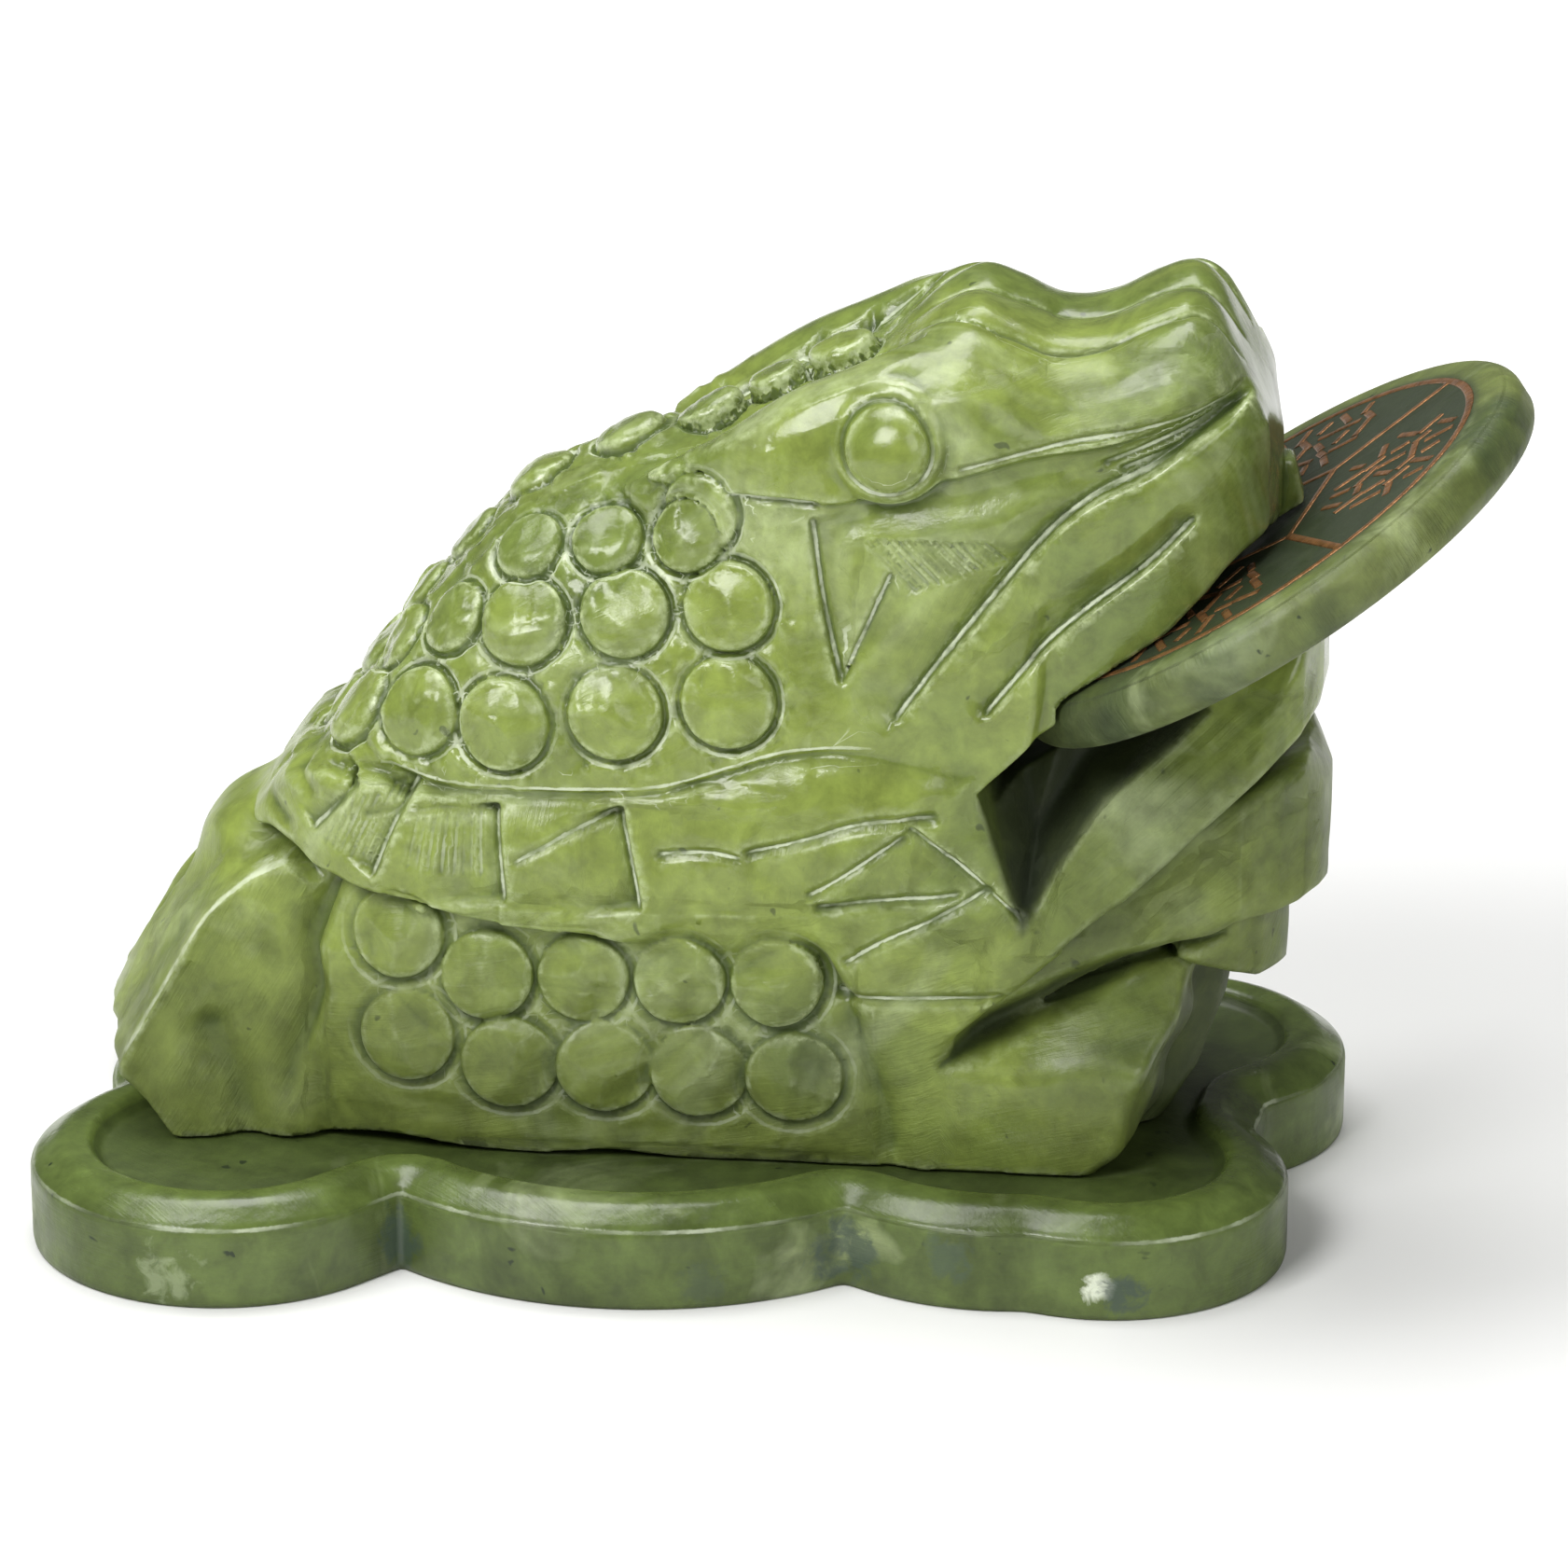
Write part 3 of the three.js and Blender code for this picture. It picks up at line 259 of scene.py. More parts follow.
CHEST = [(20, 6), (39.5, 6), (44.6, 12.5), (47.2, 19), (48.4, 25), (20, 30)]
CHEST_PLAN = [(0, 11), (32, 10.4), (38, 8.2), (43, 5.4), (46.8, 2.4), (48.2, 0), (48.2, -5), (0, -5)]
HIND_RIDGE = (-43.4, 14.8, 31.8)
HIND_FACES = [((0.1, 1, 0.17), (-43.4, 15.3, 31.8), 0.4), ((-0.85, 0.28, 0.546), HIND_RIDGE, 0.25),
              ((-0.48, 0.15, 0.86), (-43.4, 14.8, 30.3), 1.2), ((-0.93, 0, 0.37), (-59, 8, 20), 0.8),
              ((-0.78, 0.1, -0.63), (-52.2, 15, 12.2), 0.8), ((1, 0.3, -0.1), (-33.4, 18, 20), 2),
              ((0, -1, 0), (0, 2, 0), 1.5)]

# The drawing's length and the floor it stands on, the gaps between the pieces, and where the coin's rear edge
# is held.
DRAWN_LENGTH = 113
FLOOR = 8.3
REST_GAP = 0.3
SEAT_GAP = 0.45
COIN_GAP = 0.3
MOUTH_CORNER = (26.28, 48.5)

# How far from its surface the toad's relief is worked out.
RELIEF_REACH = 4

# Half widths, ends and levels of the back, the skirt, the tail and the front foot.
BACK_HALF, BACK_FRONT, BACK_LEVEL, BACK_LOW = 19.4, 30, 42, 30
SKIRT_HALF, SKIRT_SWELL, SKIRT_FRONT = 18.6, 3.1, 27
TAIL, TAIL_HALF, TAIL_SIDE = (-41, 29.5), 7.5, 10
FOOT_SIDE, FOOT_REAR, FOOT_FRONT, FOOT_TOP, FOOT_CREST = 19.9, 19, 37.8, 18.4, 26.5

# Relief drawn in the side view.
BROW_BAND = [(-6, 70.2), (-4.2, 71.5), (-1.7, 74.3), (4.1, 78.4), (10.7, 81.2), (16.4, 84), (30, 90),
             (52, 90)]
BROW_BAND += smooth([(50, 80.9), (42.3, 78.1), (35.5, 76), (29, 74.8), (22.5, 72.8), (17, 71), (12, 70.2),
                     (5, 70.3), (0, 69.6)])
LIP_LINE = [(18, 51.2), (21.9, 56.6), (26.4, 62.4), (30.9, 68.1), (35, 71.6), (39.8, 74), (43.6, 76.8),
            (49.4, 80.7)]
LIP = smooth(LIP_LINE) + [(51.5, 82.4), (55, 82), (56, 66), (26, 42), (22, 44)]
CHEEK_HOLLOW = [(14, 69), (22, 71.2), (30, 73), (38, 74.8), (45, 79.6)]
POCKET = [(25.4, 43.8), (29.3, 31), (32.4, 36.6), (36.3, 42.2), (42.3, 47.2), (45.4, 50.2), (41, 57.5),
          (36, 53.6), (30, 47.8)]
SLOT = [(22.4, 18.6), (26, 19.2), (29.5, 20.8), (32.7, 22.4), (36.2, 24.2), (39, 25.8), (42.1, 27),
        (47, 28.9), (42.5, 28.9), (37.6, 27.7), (33.1, 25.9), (28.5, 23.4), (24.3, 20.9)]
CORD_EDGE = [(14, 1), (17, 3.6), (20, 6.4), (23, 8.4), (26, 9.3), (30, 9.6), (42, 9), (47, 6.5), (50, 3)]
EYE = (16.9, 75.9)
EYE_RADIUS = 3.75
EYE_DISC = 5.3

# Rows of bosses: first and last (x, half width, z), how many, radius, and whether the haunch holds them.
BOSS_HEIGHT = 0.33
BOSS_REACH = 3
BOSS_ROWS = [
    ((-27, 19, 29.2), (-27, 19, 29.2), 1, 4.3, True), ((-18.8, 20, 25.7), (7.4, 20, 26.1), 4, 4.2, True),
    ((-26.2, 20, 19.6), (-26.2, 20, 19.6), 1, 4.4, True), ((-16.8, 20, 17.4), (9, 20, 17), 4, 4.5, True),
    ((3, 18.5, 52.1), (-17.2, 18.3, 49.2), 3, 4.3, False),
    ((2.8, 16.3, 60.3), (-15.8, 15.2, 57.9), 3, 4.1, False),
    ((-25.3, 15.6, 49.3), (-31.4, 9.8, 47.4), 2, 4.1, False),
    ((-22.7, 11.9, 57), (-28.6, 7, 53.6), 2, 3.5, False),
    ((0.8, 12, 68), (0.8, 12, 68), 1, 3.8, False), ((-1, 13.2, 65.7), (-15.9, 10.7, 63.6), 3, 3.4, False),
    ((11.3, 0, 79.2), (11.3, 0, 79.2), 1, 3.2, False), ((5.4, 0, 76.4), (5.4, 0, 76.4), 1, 2.7, False),
    ((-0.4, 0, 73), (-0.4, 0, 73), 1, 3.2, False), ((-7.6, 0, 70), (-15.6, 0, 65.9), 2, 3.5, False),
    ((-22.2, 0, 60.8), (-31.4, 0, 50), 3, 3.2, False), ((-35, 0, 44.6), (-35, 0, 44.6), 1, 3, False),
]

# Wheel cuts on the flank: the line, half width and depth. The wide ones have no pale marks along them.
WIDE_CUT = 0.65
MARK_REACH = 1.5
FINE_CUTS = [
    ([(23.5, 74), (31.9, 76.3), (43, 78.7), (49.1, 81.3)], 0.5, 0.5),
    ([(36, 74.4), (43.6, 77.7), (48.6, 80.6)], 0.4, 0.35),
    ([(37.5, 73.8), (43.2, 76.2), (47.4, 79.2)], 0.4, 0.3),
    ([(10.4, 70.2), (4.5, 70.3), (-0.6, 69.7)], 0.45, 0.4),
    ([(-29.6, 40.4), (-24.6, 41.4), (-17.6, 41.8)], 0.45, 0.35),
    ([(-15.8, 37.2), (-11.3, 39.7), (-6.9, 41.6)], 0.45, 0.35),
    ([(-2.8, 38.3), (1.4, 38.7), (4, 38.3)], 0.5, 0.5),
    ([(5.1, 38.8), (10, 40.2), (15.5, 41.9), (21.3, 42.3)], 0.6, 0.6),
    ([(10.6, 35.1), (14.7, 37.9), (18.5, 40.5)], 0.5, 0.45),
    ([(11.4, 33.8), (15.6, 34.5), (23.5, 35)], 0.55, 0.6),
    ([(13.9, 28.7), (17.5, 31), (21.4, 32.8), (26.4, 35.5)], 0.55, 0.5),
    ([(13.1, 25.2), (18.1, 25), (27.3, 25.2)], 0.6, 0.65),
    ([(-46.6, 34.2), (-43.4, 35.5), (-40.7, 35), (-37.7, 34.6), (-35.4, 33)], 1, 1.1),
    ([(-45, 39), (-41, 38.7), (-38, 37.4)], 0.9, 0.7),
    ([(-42, 42.4), (-38.4, 42.4), (-35.6, 41.2)], 0.9, 0.6),
]

# Edge of the hind block, with a painted highlight along it.
HIND_EDGE = [(-37.9, 33.5), (-41.4, 31.9), (-45.1, 28.8), (-48.3, 23.5), (-52.8, 15.7)]

# Soft hollows, or below zero soft ridges: the line, width and depth.
SOFT_CUTS = [
    ([(9.6, 30.6), (12.5, 26.6), (15, 20.5), (17, 14.5), (18, 8)], 1.5, 0.9),
    ([(-32.4, 34.4), (-34.2, 30.4), (-35.6, 26.5), (-34.9, 22.5), (-36, 19), (-37.2, 15.6), (-38, 11)],
     1.2, 0.7),
    (HIND_EDGE, 0.6, -0.35), ([(4.6, 39), (9, 35.5), (12.4, 32.2)], 1.6, 0.5),
    ([(-45.4, 20), (-43.4, 15), (-42, 11), (-41, 7), (-40.8, 4)], 2, 1.5),
    ([(-31, 15), (-23, 12.6), (-6, 11.2), (9, 11.4)], 1.2, 0.3),
]

# Cuts with one steep side, on the right as they are drawn: the line, the other side's width at the line's
# start and end, and depth.
STEP_CUTS = [
    ([(-28.9, 35.2), (-27.2, 39.4), (-25.2, 43.2)], 3.4, 3.6, 0.9),
    ([(-17, 33.6), (-17.4, 38), (-17.7, 41.6)], 7, 5.5, 0.9),
    ([(-4.8, 33.4), (-5.4, 36.6), (-6.6, 42)], 8, 6.5, 1),
    ([(-34.8, 37.9), (-30.6, 42.6)], 2.8, 3, 0.8),
    ([(10.2, 68.4), (11.2, 61.5), (12.9, 54.3)], 5.5, 1, 0.75),
    ([(17.2, 64), (15.4, 59.8), (13.1, 54.5)], 3, 0.6, 0.5),
    (LIP_LINE, 4.5, 1.6, 0.95),
    ([(26, 52), (30.5, 57.6), (34.4, 61.3), (39.9, 65.7), (43.5, 69.4)], 3.8, 2.2, 0.95),
    ([(29.2, 32.6), (24.4, 37.4), (19.4, 41.4)], 2.5, 3.5, 0.5),
]

# Fans of fine scratches: the far ends' first and last place, the near ends', how many, half width and depth.
FANS = [
    ((15.2, 66.9), (25.8, 67.2), (19.4, 62.8), (27.4, 65.6), 13, 0.34, 0.42),
    ((-31.6, 41.6), (-26.6, 42.6), (-33.6, 37), (-29.6, 36), 6, 0.3, 0.3),
    ((-24.4, 42), (-19, 41.8), (-25.6, 36.2), (-18.8, 35.6), 8, 0.3, 0.3),
]

# Slanting cuts down the brows' inner sides, in plan.
BROW_CUTS = [[(18.7, 9), (15.2, 3.4)], [(13.3, 9), (11.5, 3.4)], [(8.4, 8.6), (6.4, 3.4)]]
BROW_EDGE = [(-6, 7.2), (8, 7.6), (14, 8.4), (20, 9.6), (26, 10)]

# Patches that the wheel left streaked: the patch, the streaks' slant in degrees, spacing, length, height and
# seed, and how dull the patch is.
STREAKS = [
    ([(30, 29), (36, 30), (56, 46), (57, 52), (44, 52), (33, 38)], 44, 0.9, 9, 0.11, 1, 1.0),
    ([(19, 80), (46, 85), (48, 81), (34, 77), (22, 74)], 16, 0.8, 5, 0.03, 2, 0.75),
    ([(-31, 34), (20, 34), (20, 42), (-31, 43)], 80, 0.8, 4, 0.04, 3, 0.5),
    ([(-56, 8), (-36, 8), (-36, 36), (-50, 32)], 60, 1.1, 6, 0.036, 4, 0.9),
    ([(38, 16), (57, 20), (57, 42), (50, 40), (38, 28)], 35, 0.9, 7, 0.045, 5, 0.95),
    ([(14, 50), (30, 60), (30, 67), (14, 67)], 62, 0.8, 5, 0.03, 6, 0.5),
    ([(-34, 44), (8, 44), (8, 72), (-20, 66)], 25, 0.9, 3, 0.06, 7, 0.3),
    ([(-34, 9), (16, 9), (14, 30), (-34, 33)], 10, 1, 5, 0.0225, 8, 0.6),
    ([(14, 36), (26, 30), (26, 20), (22, 8), (16, 8)], 20, 1, 5, 0.03, 9, 0.75),
    ([(23, 18), (27, 20.6), (42, 27), (43, 22), (38, 8), (23, 8)], 14, 1, 5, 0.04, 10, 0.4),
]


def brushed(s, t, spacing, length, seed):
    """Streaks such as a wheel leaves, from -1 to 1, narrow across s and long along t."""
    table = np.random.default_rng(seed).uniform(-1, 1, (61, 61))
    a, b = s / spacing, t / length
    i, j = np.floor(a).astype(int), np.floor(b).astype(int)
    u, v = a - i, b - j
    u, v = u * u * (3 - 2 * u), v * v * (3 - 2 * v)
    i0, i1, j0, j1 = i % 61, (i + 1) % 61, j % 61, (j + 1) % 61
    return ((table[i0, j0] * (1 - u) + table[i1, j0] * u) * (1 - v)
            + (table[i0, j1] * (1 - u) + table[i1, j1] * u) * v)


def undulation(x, y, z, length, seed):
    """A smooth unevenness, about -1 to 1."""
    rng = np.random.default_rng(seed)
    total = np.zeros(x.shape)
    for _ in range(6):
        way = rng.normal(size=3)
        way *= 2 * math.pi / (length * rng.uniform(0.75, 1.5) * np.linalg.norm(way))
        total += np.sin(x * way[0] + y * way[1] + z * way[2] + rng.uniform(0, 6.28))
    return total / 3


def brush_way(x, y, z):
    """Places across and along the wheel's streaks on the toad, and how dull it left the stone."""
    across = (0.75 * y + 0.65 * z - 0.2 * x) / 0.3
    along = (x + 0.4 * z) / 4
    dull = 0.25 + 0.4 * ramp(45 - z, 8)
    for region, angle, _, length, _, _, matte in STREAKS:
        c, n = math.cos(math.radians(angle)), math.sin(math.radians(angle))
        inside = (outline(x, z, region) < 0) & (y > 8)
        across = np.where(inside, (z * c - x * n) / 0.3, across)
        along = np.where(inside, (x * c + z * n) / length, along)
        dull = np.where(inside, matte, dull)
    return across, along, dull


class Maps:
    """Distances and heights kept on a fine flat lattice and read back between its points."""

    def __init__(self, low, high, step, layers):
        self.low, self.step = low, step
        self.count = [int(round((h - l) / step)) + 1 for l, h in zip(low, high)]
        u, v = np.meshgrid(*[l + step * np.arange(n) for l, n in zip(low, self.count)], indexing='ij')
        made = layers(u, v)
        self.names = list(made)
        self.data = np.stack([layer.ravel() for layer in made.values()]).astype(np.float32)

    def read(self, u, v, name=None):
        """All layers by their names, or the one that is named."""
        n, m = self.count
        a = np.clip((u - self.low[0]) / self.step, 0, n - 1.001)
        b = np.clip((v - self.low[1]) / self.step, 0, m - 1.001)
        i, j = a.astype(np.int64), b.astype(np.int64)
        a, b = (a - i).astype(np.float32), (b - j).astype(np.float32)
        at = i * m + j
        d = self.data[self.names.index(name)] if name else self.data
        out = (d[..., at] * ((1 - a) * (1 - b)) + d[..., at + m] * (a * (1 - b))
               + d[..., at + 1] * ((1 - a) * b) + d[..., at + m + 1] * (a * b))
        return out if name else dict(zip(self.names, out))


def fan_lines():
    for first, last, near_first, near_last, count, half, deep in FANS:
        for i in range(count):
            t = (i + 0.3 * math.sin(5.1 * i)) / (count - 1)
            start = [first[k] + (last[k] - first[k]) * t for k in (0, 1)]
            end = [near_first[k] + (near_last[k] - near_first[k]) * t for k in (0, 1)]
            yield [start, end], half, deep


def flank_cuts(x, z):
    """Depth of the wheel cuts on the flank."""
    depth = np.zeros(x.shape)
    cuts = [(smooth(points), 1.4 * half, 1.2 * deep) for points, half, deep in FINE_CUTS]
    cuts += [(smooth(points), 0.5, 0.4 * deep) for points, _, _, deep in STEP_CUTS]
    for points, half, deep in cuts + list(fan_lines()):
        near = close_to(x, z, points, half)
        share = np.clip(1 - follow(x[near], z[near], points)[0] / half, 0, 1)
        depth[near] = np.maximum(depth[near], deep * share)
    return depth


def flank_marks(x, z):
    """Signed distance across the nearest pale mark, and its strength; on the hind block's edge it is a
    painted highlight.
    """
    cuts = [(smooth(points), 1) for points, half, _ in FINE_CUTS if half < WIDE_CUT]
    cuts += [(smooth(points), 1) for points, *_ in STEP_CUTS]
    cuts += [(smooth(HIND_EDGE), 0.85)] + [(points, 0.45) for points, *_ in fan_lines()]
    reach, second, held = np.full(x.shape, 9.0), np.full(x.shape, 9.0), np.zeros(x.shape)
    for points, much in cuts:
        near = close_to(x, z, points, 4)
        far, side, along = follow(x[near], z[near], points)
        before = np.abs(reach[near])
        closer = far < before
        second[near] = np.where(closer, before, np.minimum(second[near], far))
        reach[near] = np.where(closer, side * far, reach[near])
        on = much * ramp(np.minimum(along, 1 - along) + 0.02, 0.05) * (far < 0.8)
        held[near] = np.where(closer, on, held[near])
    return np.clip(reach, -MARK_REACH, MARK_REACH), held * ramp(second - 0.4, 0.5)


def flank_hollows(x, z):
    """Depth of the soft hollows on the flank."""
    depth = np.zeros(x.shape)
    for points, width, deep in SOFT_CUTS:
        near = close_to(x, z, points, 3 * width)
        far, _, along = follow(x[near], z[near], smooth(points))
        ends = ramp(np.minimum(along, 1 - along) + 0.04, 0.16)
        depth[near] += deep * np.exp(-(far / width) ** 2) * ends
    return depth


def flank_steps(x, z):
    """Depth of the cuts that have one steep side."""
    depth = np.zeros(x.shape)
    for points, wide_first, wide_last, deep in STEP_CUTS:
        near = close_to(x, z, points, max(wide_first, wide_last))
        far, side, along = follow(x[near], z[near], smooth(points))
        s = side * far
        width = wide_first + (wide_last - wide_first) * np.clip(along, 0, 1)
        slope = np.where(s < 0, np.clip(1 + s / width, 0, 1), np.clip(1 - s / 0.4, 0, 1))
        ends = ramp(np.minimum(along, 1 - along) + 0.06, 0.1)
        depth[near] = np.maximum(depth[near], deep * slope * ends)
    return depth


def flank_streaks(x, z):
    """Height of the wheel's streaks on the flank, each patch in its own direction."""
    total = np.zeros(x.shape)
    for region, angle, spacing, length, height, seed, _ in STREAKS:
        c, n = math.cos(math.radians(angle)), math.sin(math.radians(angle))
        along, across = x * c + z * n, z * c - x * n
        total += height * brushed(across, along, spacing, length, seed) * ramp(-outline(x, z, region), 1.2)
    return total


def roll_plan(front, half):
    """Plan of a throat roll, rounded off towards its front."""
    return [(0, half + 2), (30, half), (front - 8, half - 2.2), (front - 4.6, half - 4.6),
            (front - 2.4, half - 7.4), (front - 0.9, half - 10.6), (front - 0.1, 2), (front, -1), (front, -5),
            (0, -5)]


def boss(rho, u, v, radius, haunch, index):
    """Height of a boss above the stone round it, its ring's depth, the way across the pale mark round it, and
    how strong that mark is."""
    rng = np.random.default_rng(100 + index)
    k = rho / radius
    height = BOSS_HEIGHT * radius * (1 if haunch else 1.2)
    dome = height * np.clip(1 - k ** 2.6, 0, 1) ** 0.5
    for i in range(3 if haunch else 4):
        turn, slant = rng.uniform(0, 6.28), rng.uniform(0.24, 0.5) if haunch else rng.uniform(0.16, 0.4)
        level = height * rng.uniform(0.86, 1)
        plane = level + slant * (u * math.cos(turn) + v * math.sin(turn)) + 0.1 * radius * i * slant
        dome = np.minimum(dome, plane)
    c, n = math.cos(rng.uniform(0, 3.14)), math.sin(rng.uniform(0, 3.14))
    dome += 0.07 * brushed(u * c + v * n, v * c - u * n, 0.8, 4, index) * (k < 0.85)
    wide, deep = (1.3, 0.65) if haunch else (0.75, 0.55)
    low = 0.5 + 0.5 * np.cos(np.arctan2(v, u) + (0.9 if haunch else rng.uniform(-1, 2.6)))
    away = rho - radius
    ring = deep * (0.4 + 0.8 * low) * np.clip(1 - (away - 0.1) / wide, 0, 1) * ramp(away + 0.25, 0.35)
    # The pale mark round the ring is a painted highlight, strongest on one side of it
    much = (0.1 + 0.9 * low) * (0.45 if haunch else 1) * (np.abs(away - wide) < 0.9)
    return np.maximum(dome, 0.1), ring, away - wide * 0.8, much


def side_layers(u, v):
    """What the side view holds: distances to outlines, and the flank's relief."""
    drawn = {'head': HEAD, 'mouth': MOUTH, 'haunch': HAUNCH, 'leg': LEG, 'jaw': JAW, 'roll0': ROLLS[0][0],
             'roll1': ROLLS[1][0], 'chest': CHEST, 'brow': BROW_BAND, 'lip': LIP, 'pocket': POCKET,
             'slot': SLOT}
    layers = {name: outline(u, v, points) for name, points in drawn.items()}
    line, held = flank_marks(u, v)
    return layers | {'hollow': follow(u, v, CHEEK_HOLLOW)[0], 'cuts': flank_cuts(u, v),
                     'steps': flank_steps(u, v), 'hollows': flank_hollows(u, v),
                     'streaks': flank_streaks(u, v), 'line': line, 'held': held}


def plan_layers(u, v):
    """Distances to the outlines seen from above."""
    drawn = {'head': HEAD_PLAN, 'jaw': JAW_PLAN, 'chest': CHEST_PLAN}
    drawn |= {f'roll{i}': roll_plan(front, half) for i, (_, front, half) in enumerate(ROLLS)}
    return {name: outline(u, v, points) for name, points in drawn.items()}


class Toad:
    """The toad's form and relief, for points in the drawing's millimetres."""

    def __init__(self):
        s = sizes()
        self.scale = s.toad_length / MM / DRAWN_LENGTH
        self.tilt = s.coin_tilt
        self.radius = s.coin_diameter / MM / 2 / self.scale
        self.thickness = s.coin_thickness / MM / self.scale
        self.coin = (MOUTH_CORNER[0] + self.radius * math.cos(self.tilt),
                     MOUTH_CORNER[1] + self.radius * math.sin(self.tilt))
        self.side = Maps((-66, 2), (66, 94), 0.2, side_layers)
        self.plan = Maps((-66, -6), (66, 32), 0.25, plan_layers)
        xs = np.arange(-70, 70, 0.2)
        tables = {'ridge': RIDGE, 'crown': CROWN, 'skirt_top': SKIRT_TOP, 'skirt_low': SKIRT_LOW}
        self.xs, self.curves = xs, {name: curve(xs, table) for name, table in tables.items()}
        self.bosses = self.make_bosses()

    def along(self, name, x):
        return np.interp(x, self.xs, self.curves[name])

    def haunch(self, x, y, z, side):
        behind = np.clip((-24 - x) / 12, 0, 1)
        shoulder = ramp(x + 14, 12) * ramp(z - 26.5, 5)
        half = lines(z, HAUNCH_WIDTH) - 3 * behind ** 2 + 1.7 * shoulder
        return slab(side['haunch'], y - half, 1.5)

    def across_coin(self, x, z):
        return (z - self.coin[1]) * math.cos(self.tilt) - (x - self.coin[0]) * math.sin(self.tilt)

    def masses(self, x, y, z, parts=False):
        side, plan = self.side.read(x, z), self.plan.read(x, y)
        # Back
        half = BACK_HALF * np.sqrt(np.clip(1 - (np.minimum(x + 12, 0) / 29) ** 2, 0.06, 1))
        rise = np.maximum(self.along('ridge', x) - BACK_LEVEL, 1)
        up = np.maximum(z - BACK_LEVEL, 0)
        k0 = np.hypot(y / half, up / rise) + 1e-9
        k1 = np.hypot(y / half ** 2, up / rise ** 2) + 1e-9
        d = 0.9 * k0 * (k0 - 1) / k1
        d = common(d, face(x, y, z, (-0.8, 0, 0.6), (-38.6, 0, 40)), 3)
        d = common(d, x - BACK_FRONT, 1)
        d = np.maximum(d, BACK_LOW - z)
        # Skirt
        top = self.along('skirt_top', x)
        t = np.clip((top - z) / 9, 0, 1)
        half = SKIRT_HALF + SKIRT_SWELL * np.sqrt(t * (2 - t)) - 16 * np.clip((-24 - x) / 20, 0, 1) ** 2
        e = common(0.9 * (y - half), 0.95 * (z - top), 0.8)
        e = common(e, 0.95 * (self.along('skirt_low', x) - z), 0.5 + 5 * ramp(x + 8, 9))
        e = common(e, face(x, y, z, (1, 0.25, -0.75), (14, 20, 33)), 2.5)
        e = common(e, x - SKIRT_FRONT, 1.5)
        d = join(d, common(e, face(x, y, z, (-0.8, 0, 0.6), (-39.6, 0, 40)), 2), 0.6)
        # Haunch and front leg
        if parts:
            return self.haunch(x, y, z, side)
        d = join(d, self.haunch(x, y, z, side), 0.6)
        half = lines(z, LEG_WIDTH) - 0.022 * np.clip(x - 13, 0, 30) ** 1.6
        d = join(d, slab(side['leg'], y - half, 1.4), 1)
        # Hind foot and tail
        e = np.full(x.shape, -50.0)
        for normal, point, blend in HIND_FACES:
            e = common(e, face(x, y, z, normal, point), blend)
        d = join(d, e, 0.8)
        e = np.hypot(x - TAIL[0], z - TAIL[1]) / TAIL_HALF
        e = TAIL_HALF * (np.hypot(e, y / TAIL_SIDE) - 1)
        d = join(d, e, 1.5)
        # Head, opened by the mouth
        over = z - self.along('crown', x)
        brow = ramp(33 - x, 14)
        half = (1 - brow) * lines(over, SNOUT_SIDE) + brow * lines(over, BROW_SIDE)
        e = common(0.75 * (y - half), 0.9 * over, 1.2)
        e = common(e, plan['head'], 1.5)
        d = join(d, slab(side['head'], e, 1.2), 1.2)
        drop = 3 * ramp(x - 43, 6) * (1 - ramp(y - 3, 11))
        d = cut(d, self.side.read(x, z + drop, 'mouth'), 0.5)
        # Lower jaw up to the coin's seat
        run, rise = JAW_END[0] - JAW_START[0], JAW_END[1] - JAW_START[1]
        height = ((z - JAW_START[1]) * run - (x - JAW_START[0]) * rise) / np.hypot(run, rise)
        half = lines(x, JAW_WIDTH) - lines(x, JAW_SLOPE) * np.clip(height, -3, 30)
        half = np.where(height > 6.5, np.minimum(half, 19.5 - 0.7 * (height - 6.5)), half)
        half -= 7 * ramp(0.3 - side['pocket'], 3.6)
        e = common(0.82 * (y - half), plan['jaw'], 1)
        e = slab(side['jaw'], e, 0.7)
        e = common(e, self.across_coin(x, z) + self.thickness + SEAT_GAP / self.scale, 0.5)
        d = join(d, e, 0.8)
        # Lug under the tip of the snout that keeps the coin in
        e = common(face(x, y, z, (0.96, 0, 0.27), (52.7, 0, 68)), y - 1.9, 0.5)
        e = common(common(e, z - 71, 0.5), -self.across_coin(x, z), 0.3)
        d = join(d, common(e, 48 - x, 0.5), 0.4)
        # Throat
        e = slab(side['chest'], plan['chest'], 1.2)
        e = join(e, slab(side['roll0'], plan['roll0'], 1.6), 0.5)
        e = join(e, slab(side['roll1'], plan['roll1'], 1.6), 0.5)
        d = join(d, e, 0.6)
        # Front foot
        inward = np.clip(19.6 - y, -5, 12)
        top = FOOT_TOP + 0.95 * inward + 0.5 * np.cos(0.42 * (x - 22)) + np.clip((24 - x) / 4, 0, 1)
        e = common(y - FOOT_SIDE, 0.72 * (z - np.minimum(top, FOOT_CREST)), 1.2)
        uneven = 0.55 * undulation(0.3 * x, 0.4 * y, z, 6, 51) + 1.6 * ramp(FLOOR + 3 - z, 3) ** 2
        e = common(e, 0.9 * (x - FOOT_FRONT - 0.22 * inward - 0.3 * (z - FLOOR) + uneven), 1.4)
        return join(d, common(e, FOOT_REAR - x, 1.5), 0.6)

    def settle(self, start, haunch):
        """A boss's place on the surface and the way out of it there."""
        p = np.array(start, float)[:, None]
        g = np.zeros(3)
        for _ in range(12):
            value = self.masses(*p, parts=haunch)
            g = np.array([(self.masses(*(p + step[:, None]), parts=haunch) - value)[0] / 0.05
                          for step in 0.05 * np.eye(3)])
            if start[1] == 0:
                g[1] = 0
            p = p - g[:, None] * np.clip(value[0] / max(g @ g, 0.2), -2, 2)
        return p[:, 0], g / np.linalg.norm(g)

